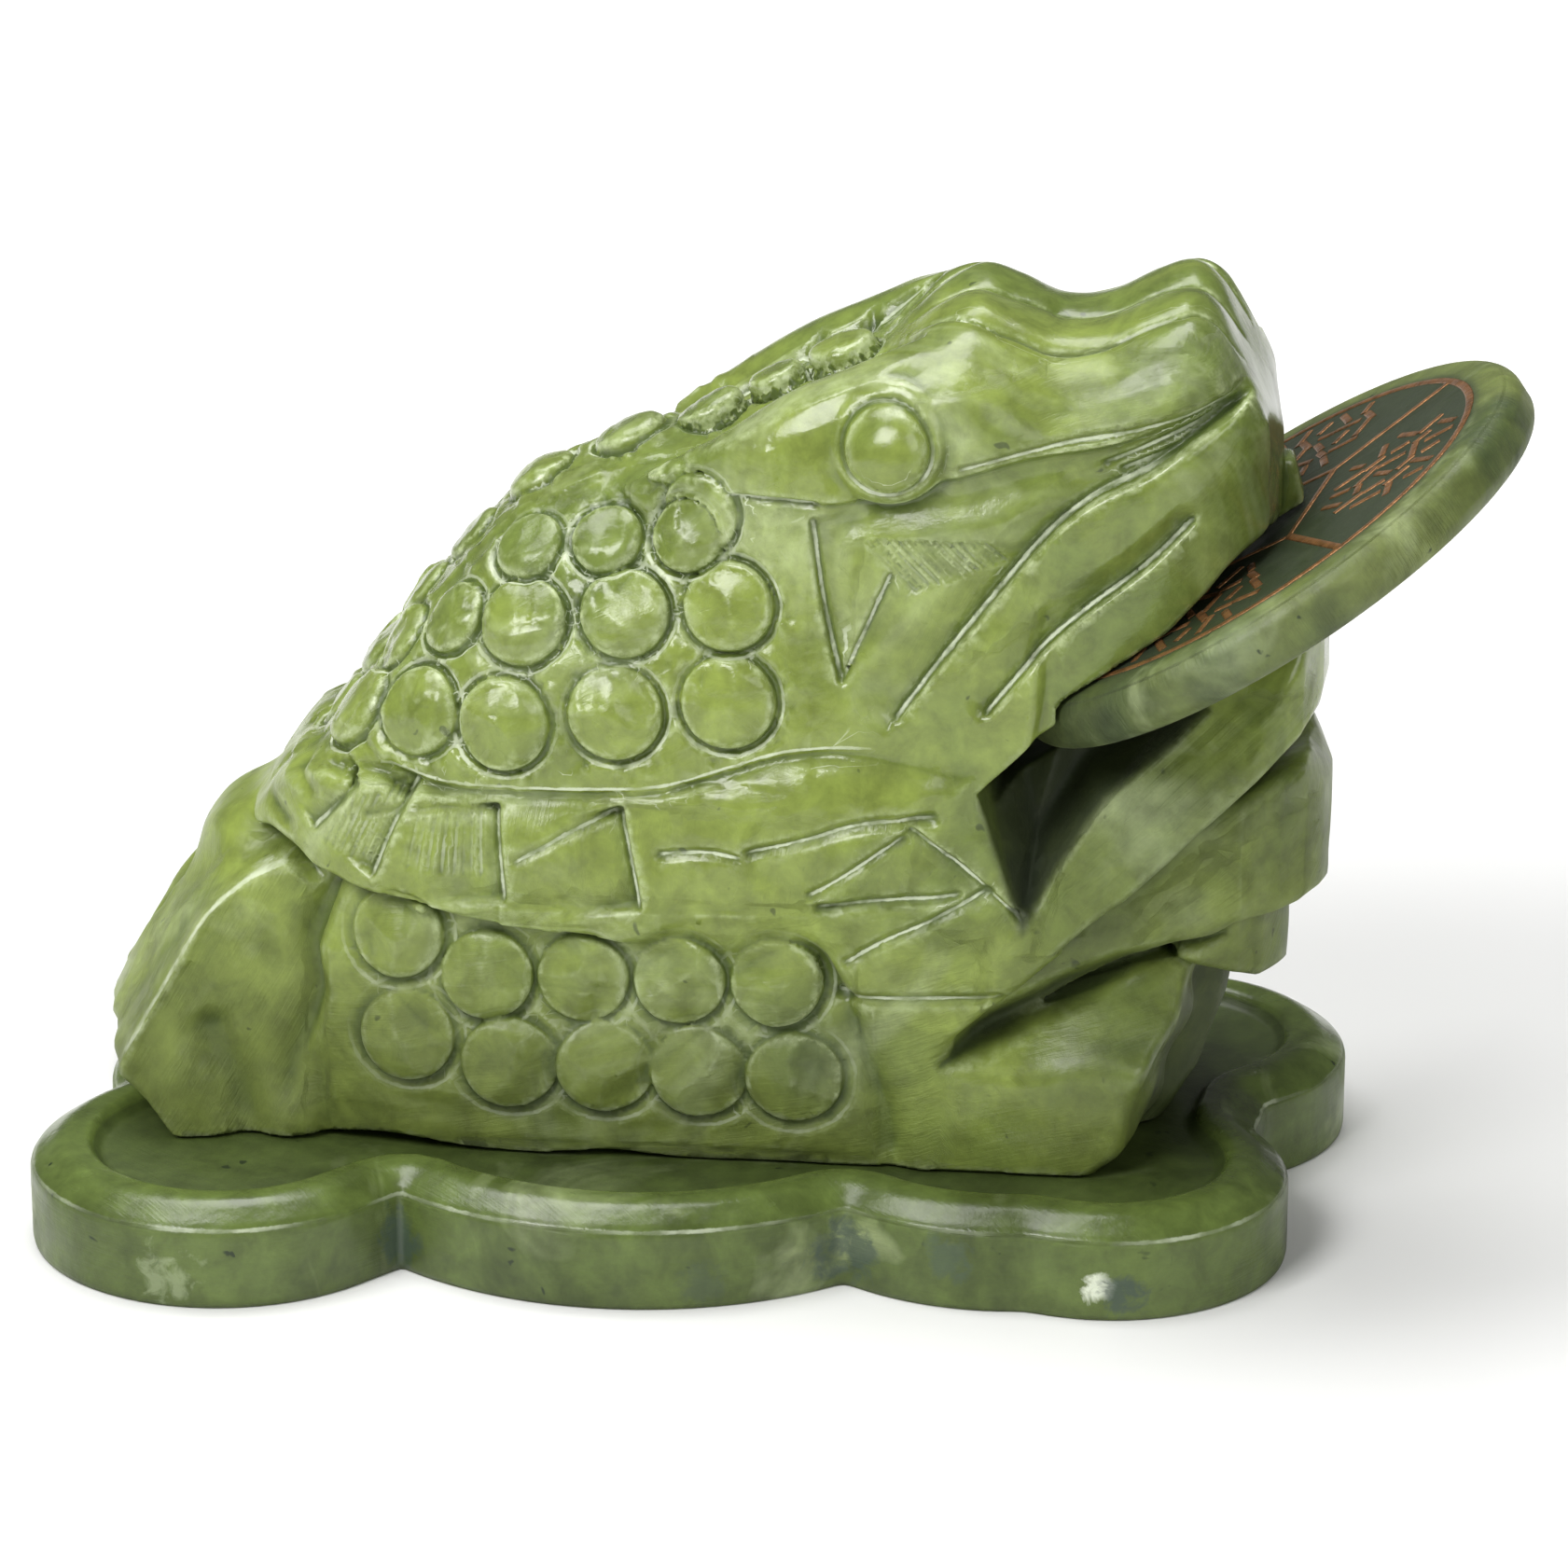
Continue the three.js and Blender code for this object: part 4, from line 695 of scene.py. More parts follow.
    def make_bosses(self):
        bosses = []
        for first, last, count, radius, haunch in BOSS_ROWS:
            for i in range(count):
                t = i / max(count - 1, 1)
                start = [a + (b - a) * t for a, b in zip(first, last)]
                place, out = self.settle(start, haunch)
                bosses.append((place, out, radius, haunch, len(bosses)))
        return bosses

    def relief(self, x, y, z, side_y):
        """Height of the relief, where shade is painted, the way across the pale marks and how strong they
        are.
        """
        side, flank = self.side.read(x, z), ramp(y - 8.5, 2.5)
        over = z - self.along('crown', x)
        near_top = ramp(over + 4, 3)
        up = 0.75 * ramp(0.2 - side['brow'], 0.7) * ramp(x + 8, 4) * flank * (1 - near_top * ramp(x - 15, 6))
        up += 0.6 * ramp(0.2 - side['lip'], 0.7) * flank * ramp(0.5 * (x - 20) + 0.85 * (z - 52), 9)
        up -= 0.8 * (1 - ramp(side['hollow'], 3.2)) * flank
        slot = 2.2 * ramp(0.8 - side['slot'], 2.2)
        up += (side['streaks'] - 1.15 * side['steps'] - side['hollows'] - slot) * flank
        groove = side['cuts'] * flank
        line, held = side['line'].copy(), side['held'] * flank

        def pale_mark(place, amount, where):
            closer = where & (np.abs(place) < np.abs(line))
            line[closer] = place[closer]
            held[closer] = amount[closer]

        # Rounded cords along the top of the snout, with sharp valleys between them
        on_snout = ramp(x - 16, 7) * ramp(over + 7, 2.5) * (1 - ramp(x - 44.5, 3.5))
        edge = lines(x, CORD_EDGE)
        u = np.clip(y / edge, 0, 1)
        v = np.clip((y - edge) / 3.4, 0, 1)
        cord = np.sqrt(np.clip(1 - np.where(y < edge, 2 * u - 1, 1 - v) ** 2, 0, 1))
        up += 1.5 * (cord - 1) * on_snout
        groove += 0.5 * np.clip(1 - cord * 2.2, 0, 1) * on_snout
        pale_mark(y - edge, 0.7 * on_snout, (on_snout > 0.1) & (x > 22))
        up -= 2.5 * np.exp(-((x - 24.5) / 6) ** 2) * ramp(y - 7, 8) * ramp(over + 6, 5)
        up -= 0.8 * np.exp(-((over + 4.8) / 1.5) ** 2) * ramp(x - 26, 6) * ramp(47 - x, 4) * flank
        strip = (1 - ramp(x - 13, 8)) * ramp(x + 6, 8) * ramp(z - 66, 4)
        wall = y - lines(x, BROW_EDGE)
        up -= 1.1 * (1 - ramp(wall, 0.9)) * strip
        pale_mark(wall - 0.1, strip, (strip > 0.3) & (x < 18))
        for points in BROW_CUTS:
            near = np.flatnonzero(close_to(x, y, points, 1) & (over > -5))
            share = np.clip(1 - follow(x[near], y[near], points)[0] / 0.9, 0, 1)
            groove[near] = np.maximum(groove[near], 0.8 * share)

        # Valley between the back and the skirt
        valley = z - self.along('skirt_top', x) - 0.5
        on_valley = ramp(x + 40, 4) * ramp(20 - x, 10) * ramp(y - 15, 2)
        groove += 0.45 * np.clip(1 - np.abs(valley) / 0.6, 0, 1) * on_valley
        pale_mark(valley - 0.65, on_valley, on_valley > 0.3)

        # Eye on its disc, which stands out most below
        far = np.hypot(x - EYE[0], z - EYE[1])
        below = np.clip(0.5 + (0.4 * (x - EYE[0]) - (z - EYE[1])) / EYE_DISC * 0.7, 0, 1)
        disc = 0.7 + (0.25 + 0.6 * below) * (1 - ramp(far - EYE_DISC + 1.3, 1.3))
        groove += (0.25 + 0.2 * below) * np.exp(-(((far - EYE_RADIUS - 0.25) / 0.4) ** 2)) * flank
        eye = disc + 1.7 * np.sqrt(np.clip(1 - (far / (EYE_RADIUS + 0.1)) ** 2, 0, 1))
        on_eye = ramp(EYE_DISC + 0.5 - far, 0.6) * flank
        up = up * (1 - on_eye) + eye * on_eye
        up -= 0.45 * below * np.exp(-((far - EYE_DISC - 0.3) / 0.8) ** 2) * flank
        # A painted highlight along the lower side of the eye's ring
        low = np.clip(0.3 * (x - EYE[0]) - (z - EYE[1]), 0, 3) / 3
        pale_mark(far - EYE_RADIUS - 0.35, low, (far < EYE_DISC) & (flank > 0.5))

        # Bosses and their rings
        between = np.zeros(x.shape)
        for place, out, radius, haunch, index in self.bosses:
            reach = radius + BOSS_REACH
            near = np.flatnonzero((np.abs(x - place[0]) < reach) & (np.abs(y - place[1]) < reach)
                                  & (np.abs(z - place[2]) < reach))
            e = [x[near] - place[0], y[near] - place[1], z[near] - place[2]]
            h = e[0] * out[0] + e[1] * out[1] + e[2] * out[2]
            rho = np.sqrt(np.maximum(e[0] ** 2 + e[1] ** 2 + e[2] ** 2 - h * h, 0))
            on = 1 - ramp(np.abs(h) - 2.2, 0.8)
            if haunch and place[0] < -22:
                on = on * (1 - ramp(z[near] - self.along('skirt_low', x[near]) + 0.6, 0.8))
            top, ring, mark, much = boss(rho, e[0], e[2], radius, haunch, index)
            inside = rho < radius
            up[near] = np.where(inside, np.maximum(0.2 * up[near], 0), up[near]) + top * on
            groove[near] = np.where(inside, ring * on, np.maximum(groove[near], ring * on))
            held[near] = np.where(inside, 0, held[near])
            closer = (np.abs(mark) < np.abs(line[near])) & (on > 0.5)
            line[near[closer]] = mark[closer]
            held[near[closer]] = much[closer]
            beside = (1 - ramp(rho - radius - 1, 2)) * (not haunch)
            between[near] = np.where(inside, 0, np.maximum(between[near], beside))
        # The hand's unevenness, the wheel's marks between the bosses, and painted shade: in the mouth's
        # pocket, low on the flank, on the throat and front foot, in the slot over the foot and on the chest
        # beside it
        up += 0.13 * undulation(x, side_y, z, 11, 21) + 0.05 * undulation(x, side_y, z, 4.5, 22) - 0.06
        up += 0.2 * undulation(x, side_y, z, 6, 23) * ramp(-36 - x, 5)
        up += 0.14 * between * (brushed(x - z, x + z, 0.9, 1.8, 31) + brushed(x + z, x - y, 1.1, 1.6, 32))
        dark = ramp(0.7 - side['pocket'], 1.4)
        dark = np.maximum(dark, 0.38 * ramp(32 - z, 15) * (1 - ramp(x - 13, 8)) * flank)
        dark = np.maximum(dark, 0.36 * ramp(x - 27, 8) * ramp(48 - z, 6))
        dark = np.maximum(dark, 0.75 * ramp(1.1 - side['slot'], 2.2) * flank)
        dark = np.maximum(dark, 0.75 * ramp(25.5 - z, 3) * (1 - ramp(y - 12.5, 2.5)) * ramp(x - 34, 4))
        return up - groove, dark, line, held

    def carve(self, x, side_y, z):
        """Signed distance to the carved toad, and what relief() gives besides its height."""
        y = np.abs(side_y)
        d = self.masses(x, y, z)
        dark, line, held = np.zeros(x.shape), np.full(x.shape, MARK_REACH), np.zeros(x.shape)
        near = np.flatnonzero(np.abs(d) < RELIEF_REACH)
        if len(near):
            up, dark[near], line[near], held[near] = self.relief(x[near], y[near], z[near], side_y[near])
            d[near] -= up
        for place, _, radius, haunch, _ in self.bosses:
            if haunch:
                rho = np.hypot(x - place[0], z - place[2])
                room = common(rho - radius - 0.45, place[1] + BOSS_HEIGHT * radius + 0.15 - y, 0.15)
                d = np.where(rho < radius + BOSS_REACH, cut(d, room, 0.2), d)
        along = (x - self.coin[0]) * math.cos(self.tilt) + (z - self.coin[1]) * math.sin(self.tilt)
        half, gap = self.thickness / 2, COIN_GAP / self.scale
        across = np.abs(self.across_coin(x, z) + half) - half - gap
        room = slab(np.hypot(along, y) - self.radius - gap, across, 1.6)
        d = cut(d, room, 0.2)
        lift = np.exp(-((x + 28) / 6) ** 2) + 0.5 * np.exp(-((x + 8) / 4) ** 2)
        return np.maximum(d, FLOOR - z + 1.1 * lift * ramp(y - 13, 5)), dark, line, held


# Making a mesh from a field. The field is first read on a grid so many times coarser, then near the surface.
COARSE = 4
AXES = np.eye(3, dtype=int)


def in_chunks(function, x, y, z, size=150000):
    parts = [function(x[i:i + size], y[i:i + size], z[i:i + size]) for i in range(0, len(x), size)]
    return [np.concatenate(p) for p in zip(*parts)]


def window(corner, shape):
    """Part of a grid of the given shape that starts at a corner."""
    return tuple(slice(i, i + n) for i, n in zip(corner, shape))


def fill_crossed_faces(values, rounds=8):
    """Fills one corner of each grid face whose corners alternate, since four walls would meet there."""
    for _ in range(rounds):
        filled = 0
        for axis in range(3):
            steps = np.delete(AXES, axis, 0)
            corners = [(0, 0, 0), steps[0], steps[1], steps[0] + steps[1]]
            faces = np.array(values.shape) - 1 + AXES[axis]
            a, b, c, d = (values[window(corner, faces)] < 0 for corner in corners)
            at = np.stack(np.nonzero((a == d) & (b == c) & (a != b)), 1)
            around = np.stack([values[tuple((at + corner).T)] for corner in corners])
            chosen = np.array(corners)[np.argmin(np.where(around < 0, 99, around), axis=0)]
            values[tuple((at + chosen).T)] = -0.01
            filled += len(at)
        if not filled:
            return


def finer(block):
    for axis in range(3):
        block = np.repeat(block, COARSE, axis)
    return block


def grid_values(function, low, high, cell):
    """A field on an even grid. Away from its surface only the signs are right."""
    counts = [int(math.ceil((h - l) / cell / COARSE)) * COARSE + 1 for l, h in zip(low, high)]
    axes = [start + cell * np.arange(count) for start, count in zip(low, counts)]
    at = np.meshgrid(*[axis[::COARSE] for axis in axes], indexing='ij')
    rough = in_chunks(function, *[a.ravel() for a in at])[0].reshape(at[0].shape)
    near = np.abs(rough) < COARSE * cell * 1.1 + 0.8
    active = np.zeros([n - 1 for n in near.shape], bool)
    corners = list(itertools.product((0, 1), repeat=3))
    for corner in corners:
        active |= near[window(corner, active.shape)]
    signs = np.where(rough < 0, -9.0, 9.0).astype(np.float32)
    values = finer(signs)[window((0, 0, 0), counts)].copy()
    mask, fine = np.zeros(counts, bool), finer(active)
    for corner in corners:
        mask[window(corner, fine.shape)] |= fine
    at = np.nonzero(mask)
    values[at] = in_chunks(function, *[axis[place] for axis, place in zip(axes, at)])[0]
    return values


def beside(place, axis, m, n):
    """Cells that touch grid edges along an axis, by steps back across it."""
    cells = place.copy()
    cells[:, (axis + 1) % 3] -= m
    cells[:, (axis + 2) % 3] -= n
    return cells


def grid_surface(function, low, high, cell):
    """Points and quads where a field changes sign, one point in each crossed cell of an even grid. The field
    is worked out from y = 0 up and mirrored."""
    values = grid_values(function, low, high, cell)
    fill_crossed_faces(values)
    values = np.concatenate([values[:, :0:-1], values], axis=1)
    inside, last = values < 0, np.array(values.shape) - 1
    total, hits = np.zeros((*last, 3), np.float32), np.zeros(last, np.int16)
    crossings = []
    for axis in range(3):
        edges = np.array(values.shape) - AXES[axis]
        start, end = window((0, 0, 0), edges), window(AXES[axis], edges)
        cross = inside[start] != inside[end]
        place = np.stack(np.nonzero(cross), 1)
        at_start, at_end = values[start][cross], values[end][cross]
        t = at_start / (at_start - at_end)
        crossings.append((axis, place, inside[start][cross]))
        for m, n in itertools.product((0, 1), repeat=2):
            cells = beside(place, axis, m, n)
            ok = np.all((cells >= 0) & (cells < last), 1)
            at = tuple(cells[ok].T)
            local = np.zeros((ok.sum(), 3), np.float32)
            local[:, axis], local[:, (axis + 1) % 3], local[:, (axis + 2) % 3] = t[ok], m, n
            np.add.at(total, at, local)
            np.add.at(hits, at, 1)
    cells = np.stack(np.nonzero(hits), 1)
    at = tuple(cells.T)
    index = np.full(hits.shape, -1, np.int64)
    index[at] = np.arange(len(cells))
    points = (cells + total[at] / hits[at][:, None]) * cell + np.array([low[0], -last[1] / 2 * cell, low[2]])
    quads = []
    for axis, place, starts_inside in crossings:
        across = [(axis + 1) % 3, (axis + 2) % 3]
        ok = np.all((place[:, across] >= 1) & (place[:, across] < last[across]), 1)
        ring = np.stack([index[tuple(beside(place[ok], axis, m, n).T)]
                         for m, n in ((1, 1), (0, 1), (0, 0), (1, 0))], 1)
        turned = ~starts_inside[ok]
        ring[turned] = ring[turned][:, ::-1]
        quads.append(ring)
    return points, np.concatenate(quads)


def on_surface(function, points, rounds=2, reach=0.2, step=0.03):
    """Moves points on to the surface, and reads the other values there."""
    for _ in range(rounds):
        value = in_chunks(function, *points.T)[0]
        slope = np.stack([in_chunks(function, *(points + way).T)[0] - value for way in step * AXES], 1) / step
        size = np.maximum((slope ** 2).sum(1), 0.3)
        points = points - slope * np.clip(value / size, -reach, reach)[:, None]
    return points, in_chunks(function, *points.T)[1:]


def bend(function, points, step=0.45):
    """How sharply the surface bends at each point: above zero on ridges, below zero in cuts."""
    x, y, z = points.T
    total = -6 * in_chunks(function, x, y, z)[0]
    for way in np.vstack([AXES, -AXES]) * step:
        total += in_chunks(function, x + way[0], y + way[1], z + way[2])[0]
    return total / step ** 2


# Making meshes and putting them in the scene.

def new_mesh(name, points, faces):
    """A mesh from points in millimetres in the part's frame."""
    mesh = bpy.data.meshes.new(name)
    points = np.asarray(points, np.float32) * MM
    faces = np.asarray(faces, np.int32)
    sides = faces.shape[1]
    mesh.vertices.add(len(points))
    mesh.vertices.foreach_set('co', points.ravel())
    mesh.loops.add(faces.size)
    mesh.loops.foreach_set('vertex_index', faces.ravel())
    mesh.polygons.add(len(faces))
    mesh.polygons.foreach_set('loop_start', np.arange(0, faces.size, sides, dtype=np.int32))
    mesh.update(calc_edges=True)
    mesh.validate()
    return mesh


def add_values(mesh, name, *values):
    """One value for each point of a mesh, or three that go together."""
    kind, field = ('FLOAT', 'value') if len(values) == 1 else ('FLOAT_VECTOR', 'vector')
    attribute = mesh.attributes.new(name, kind, 'POINT')
    attribute.data.foreach_set(field, np.stack(values, 1).astype(np.float32).ravel())


def add_brush(mesh, across, along, dull):
    """Streaks for the polish to follow: places across and along them, and how dull the stone is."""
    add_values(mesh, 'brush', across, along, dull)


def add_marks(mesh, across, held):
    """The way across the nearest pale mark in millimetres, and how strong it is."""
    add_values(mesh, 'pale_mark', np.clip(across, -MARK_REACH, MARK_REACH), held, 0 * held)


def add_piece(name, mesh, material, slot, *replaced):
    piece = bpy.data.objects.new(name, mesh)
    bpy.context.scene.collection.objects.link(piece)
    mesh.materials.clear()
    mesh.materials.append(material)
    mesh.shade_smooth()
    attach(piece, "root")
    if replaced:
        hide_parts(*replaced)
    return piece


def rings_to_triangles(rings, around):
    """Triangles between rings of points that are stored one after the other."""
    i = np.arange(around)
    j = (i + 1) % around
    quads = np.stack([i, j, j + around, i + around], 1)
    quads = np.concatenate([quads + ring * around for ring in range(rings - 1)])
    return np.concatenate([quads[:, [0, 1, 2]], quads[:, [0, 2, 3]]])


def fan(first, around, hub, under=False):
    """Triangles from the points of a ring to one point in its middle."""
    i = np.arange(around)
    ends = [first + i, first + (i + 1) % around]
    return np.stack([*(ends[::-1] if under else ends), np.full(around, hub)], 1)


# Shader node groups shared by the materials.

ORIGIN = (0, 0, 0)
GREY = (0.5, 0.5, 0.5, 1)

# Colours that a user would leave alone: among them those of painted shade, of painted shade in hollows and in
# cuts, and of the pale marks, which are painted highlights in places.
SPECK, PAINTED_SHADE = (0.012, 0.022, 0.008), (0.008, 0.013, 0.005)
HOLLOW_SHADE, VALLEY_SHADE = (0.04, 0.068, 0.016), (0.035, 0.062, 0.016)
COIN_STONE, COIN_DEEP = (0.135, 0.168, 0.041), (0.058, 0.083, 0.025)
MARK_COLOUR, WORN_COPPER = (0.62, 0.68, 0.5), (0.11, 0.055, 0.02)


def rgba(colour):
    return (*colour, 1)


def feed(tree, socket, value):
    """Links a socket to an input, or sets the input's plain value."""
    if isinstance(value, bpy.types.NodeSocket):
        tree.links.new(value, socket)
    else:
        socket.default_value = value


def shared_group(name, inputs, outputs):
    """A shader node group that is made once, at its first use, by the function that this decorates."""
    def decorate(build):
        def group():
            if name in bpy.data.node_groups:
                return bpy.data.node_groups[name]
            tree = bpy.data.node_groups.new(name, 'ShaderNodeTree')
            for label, default in inputs.items():
                kind = 'Float' if isinstance(default, float) else {3: 'Vector', 4: 'Color'}[len(default)]
                socket = tree.interface.new_socket(label, in_out='INPUT', socket_type='NodeSocket' + kind)
                socket.default_value = default
            for label in outputs:
                kind = 'NodeSocketColor' if label == 'Color' else 'NodeSocketFloat'
                tree.interface.new_socket(label, in_out='OUTPUT', socket_type=kind)
            given, out = tree.nodes.new('NodeGroupInput'), tree.nodes.new('NodeGroupOutput')
            for label, made in zip(outputs, build(tree, given.outputs)):
                tree.links.new(made, out.inputs[label])
            return tree
        return group
    return decorate


def math_node(tree, operation, *values, clamp=False):
    node = tree.nodes.new('ShaderNodeMath')
    node.operation = operation
    node.use_clamp = clamp
    for socket, value in zip(node.inputs, values):
        feed(tree, socket, value)
    return node.outputs[0]


def times(tree, a, b, clamp=False):
    return math_node(tree, 'MULTIPLY', a, b, clamp=clamp)


def plus(tree, a, b, clamp=False):
    return math_node(tree, 'ADD', a, b, clamp=clamp)


def minus(tree, a, b, clamp=False):
    return math_node(tree, 'SUBTRACT', a, b, clamp=clamp)


def mix_colour(tree, factor, a, b, mode='MIX'):
    node = tree.nodes.new('ShaderNodeMix')
    node.data_type = 'RGBA'
    node.blend_type = mode
    for place, value in ((0, factor), (6, a), (7, b)):
        feed(tree, node.inputs[place], value)
    return node.outputs[2]


def ramp_node(tree, value, *stops):
    """A value's way through two stops, each a place and a level."""
    node = tree.nodes.new('ShaderNodeValToRGB')
    for element, (place, level) in zip(node.color_ramp.elements, stops):
        element.position = place
        element.color = (level, level, level, 1)
    feed(tree, node.inputs[0], value)
    return node.outputs[0]


def noise_node(tree, vector, scale, detail, rough=0.55, distortion=0.0, offset=ORIGIN, stretch=(1, 1, 1)):
    mapping = tree.nodes.new('ShaderNodeMapping')
    node = tree.nodes.new('ShaderNodeTexNoise')
    for label, value in (('Location', offset), ('Scale', stretch), ('Vector', vector)):
        feed(tree, mapping.inputs[label], value)
    for label, value in (('Scale', scale), ('Detail', detail), ('Roughness', rough),
                         ('Distortion', distortion), ('Vector', mapping.outputs[0])):
        feed(tree, node.inputs[label], value)
    return node.outputs['Fac']


def split(tree, vector):
    """The three parts of a vector."""
    node = tree.nodes.new('ShaderNodeSeparateXYZ')
    feed(tree, node.inputs[0], vector)
    return node.outputs


def attribute(tree, name):
    """Values kept at the points of the piece's own mesh."""
    node = tree.nodes.new('ShaderNodeAttribute')
    node.attribute_name = name
    return node.outputs


def bump(tree, height, strength):
    node = tree.nodes.new('ShaderNodeBump')
    for label, value in (('Strength', strength), ('Distance', 0.3 * MM), ('Height', height)):
        feed(tree, node.inputs[label], value)
    return node.outputs['Normal']


@shared_group('Clouded stone', {'Vector': ORIGIN, 'Light': GREY, 'Deep': GREY, 'Pale': GREY, 'Mottle': 0.5,
                                'Specks': 0.5}, ('Color',))
def stone_group(tree, given):
    """Clouded stone: patches of three greens, dark specks and pale veils."""
    vector = given['Vector']
    large = noise_node(tree, vector, 24, 3, 0.5, 0.6, (3.1, 0.4, 1.7))
    medium = noise_node(tree, vector, 70, 5, 0.6, 0.8, (0.3, 4.4, 2.2), (1, 1, 0.7))
    small = noise_node(tree, vector, 320, 5, 0.65, 0.3, (5.2, 1.1, 0.4))
    both = plus(tree, times(tree, large, 0.55), times(tree, medium, 0.45))
    patches = ramp_node(tree, both, (0.4, 1), (0.55, 0))
    colour = mix_colour(tree, times(tree, patches, given['Mottle'], True), given['Light'], given['Deep'])
    veil = ramp_node(tree, noise_node(tree, vector, 42, 4, 0.6, 1.2, (7.7, 2.1, 5.3)), (0.56, 0), (0.72, 1))
    colour = mix_colour(tree, times(tree, veil, 0.6), colour, given['Pale'])
    grain = ramp_node(tree, small, (0.34, 0.72), (0.7, 1.22))
    colour = mix_colour(tree, 1.0, colour, grain, 'MULTIPLY')
    grain = noise_node(tree, vector, 430, 2, 0.5, 0.4, (1.9, 8.2, 6.4))
    specks = ramp_node(tree, grain, (0.23, 1), (0.27, 0))
    specks = times(tree, specks, given['Specks'], True)
    return [mix_colour(tree, specks, colour, rgba(SPECK))]


@shared_group('Hand polish', {'Vector': ORIGIN, 'Brush': ORIGIN, 'Streaks': 0.5, 'Waves': 0.5},
              ('Height', 'Dull'))
def polish_group(tree, given):
    """Hand polish: the wheel's streaks and a slight waviness, as heights, and where the gloss is dull."""
    vector = given['Vector']
    across, along, matte = split(tree, given['Brush'])
    flat = tree.nodes.new('ShaderNodeCombineXYZ')
    feed(tree, flat.inputs[0], across)
    feed(tree, flat.inputs[1], along)
    streaks = noise_node(tree, flat.outputs[0], 1, 3, 0.65, 0.15)
    where = ramp_node(tree, noise_node(tree, vector, 110, 3, 0.6, 0.5, (2.5, 9, 1)), (0.36, 0.12), (0.62, 1))
    dull = times(tree, matte, where)
    height = times(tree, times(tree, streaks, dull), given['Streaks'])
    grit = noise_node(tree, vector, 1700, 3, 0.65)
    height = plus(tree, height, times(tree, grit, plus(tree, times(tree, dull, 0.25), 0.08)))
    waves = times(tree, noise_node(tree, vector, 170, 3, 0.5, 0.3, (6, 3, 8)), given['Waves'])
    return [plus(tree, height, waves), plus(tree, times(tree, dull, 0.6), times(tree, matte, 0.4))]


@shared_group('Edge wear and painted light', {'Vector': ORIGIN, 'Bend': 0.0}, ('Ridge', 'Valley'))
def edge_light_group(tree, given):
    """Where ridges turn pale, partly rubbed wear and partly painted highlight, and where cuts get painted
    shade, from how the surface bends.
    """
    patch = ramp_node(tree, noise_node(tree, given['Vector'], 700, 4, 0.7), (0.4, 0.1), (0.62, 1))
    ridge = times(tree, minus(tree, given['Bend'], 0.5), 0.3, True)
    valley = times(tree, minus(tree, -0.25, given['Bend']), 0.45, True)
    return [times(tree, ridge, patch), times(tree, valley, 0.34)]


@shared_group('Pale marks in cuts', {'Vector': ORIGIN, 'Cuts': ORIGIN}, ('Marks',))
def mark_group(tree, given):
    """Pale marks in thin broken lines along cuts and edges, from the way across them and how strong they are;
    along edges and rings they are painted highlights.
    """
    across, held, _ = split(tree, given['Cuts'])
    noise = noise_node(tree, given['Vector'], 900, 4, 0.7, 0.4, (4, 1, 9))
    width = plus(tree, times(tree, noise, 0.27), 0.05)
    inside = times(tree, minus(tree, width, math_node(tree, 'ABSOLUTE', across)), 11, True)
    gaps = noise_node(tree, given['Vector'], 260, 3, 0.6, 0.2, (1, 7, 3))
    held = times(tree, held, ramp_node(tree, gaps, (0.38, 0.25), (0.55, 1)))
    return [times(tree, times(tree, inside, held), 0.85)]


@shared_group('Inclusion', {'Vector': ORIGIN, 'Place': ORIGIN, 'Radius': 0.002}, ('Spot',))
def inclusion_group(tree, given):
    """A ragged patch round a place in the stone."""
    away = tree.nodes.new('ShaderNodeVectorMath')
    away.operation = 'DISTANCE'
    feed(tree, away.inputs[0], given['Vector'])
    feed(tree, away.inputs[1], given['Place'])
    ragged = times(tree, minus(tree, noise_node(tree, given['Vector'], 500, 4, 0.65, 0.5), 0.5), 2.2)
    share = plus(tree, math_node(tree, 'DIVIDE', away.outputs['Value'], given['Radius']), ragged)
    return [ramp_node(tree, share, (0.55, 1), (1.0, 0))]


def place_group(tree, group, **values):
    node = tree.nodes.new('ShaderNodeGroup')
    node.node_tree = group
    for label, value in values.items():
        feed(tree, node.inputs[label], value)
    return node.outputs


def new_material(name):
    """A material's nodes, its shader's inputs and the places in its piece."""
    material = bpy.data.materials.new(name)
    material.use_nodes = True
    tree = material.node_tree
    vector = tree.nodes.new('ShaderNodeTexCoord').outputs['Object']
    return material, tree, tree.nodes['Principled BSDF'].inputs, vector


def set_inputs(tree, inputs, **values):
    """Feeds a shader's inputs, given by their labels with _ for a space."""
    for label, value in values.items():
        feed(tree, inputs[label.replace('_', ' ')], value)


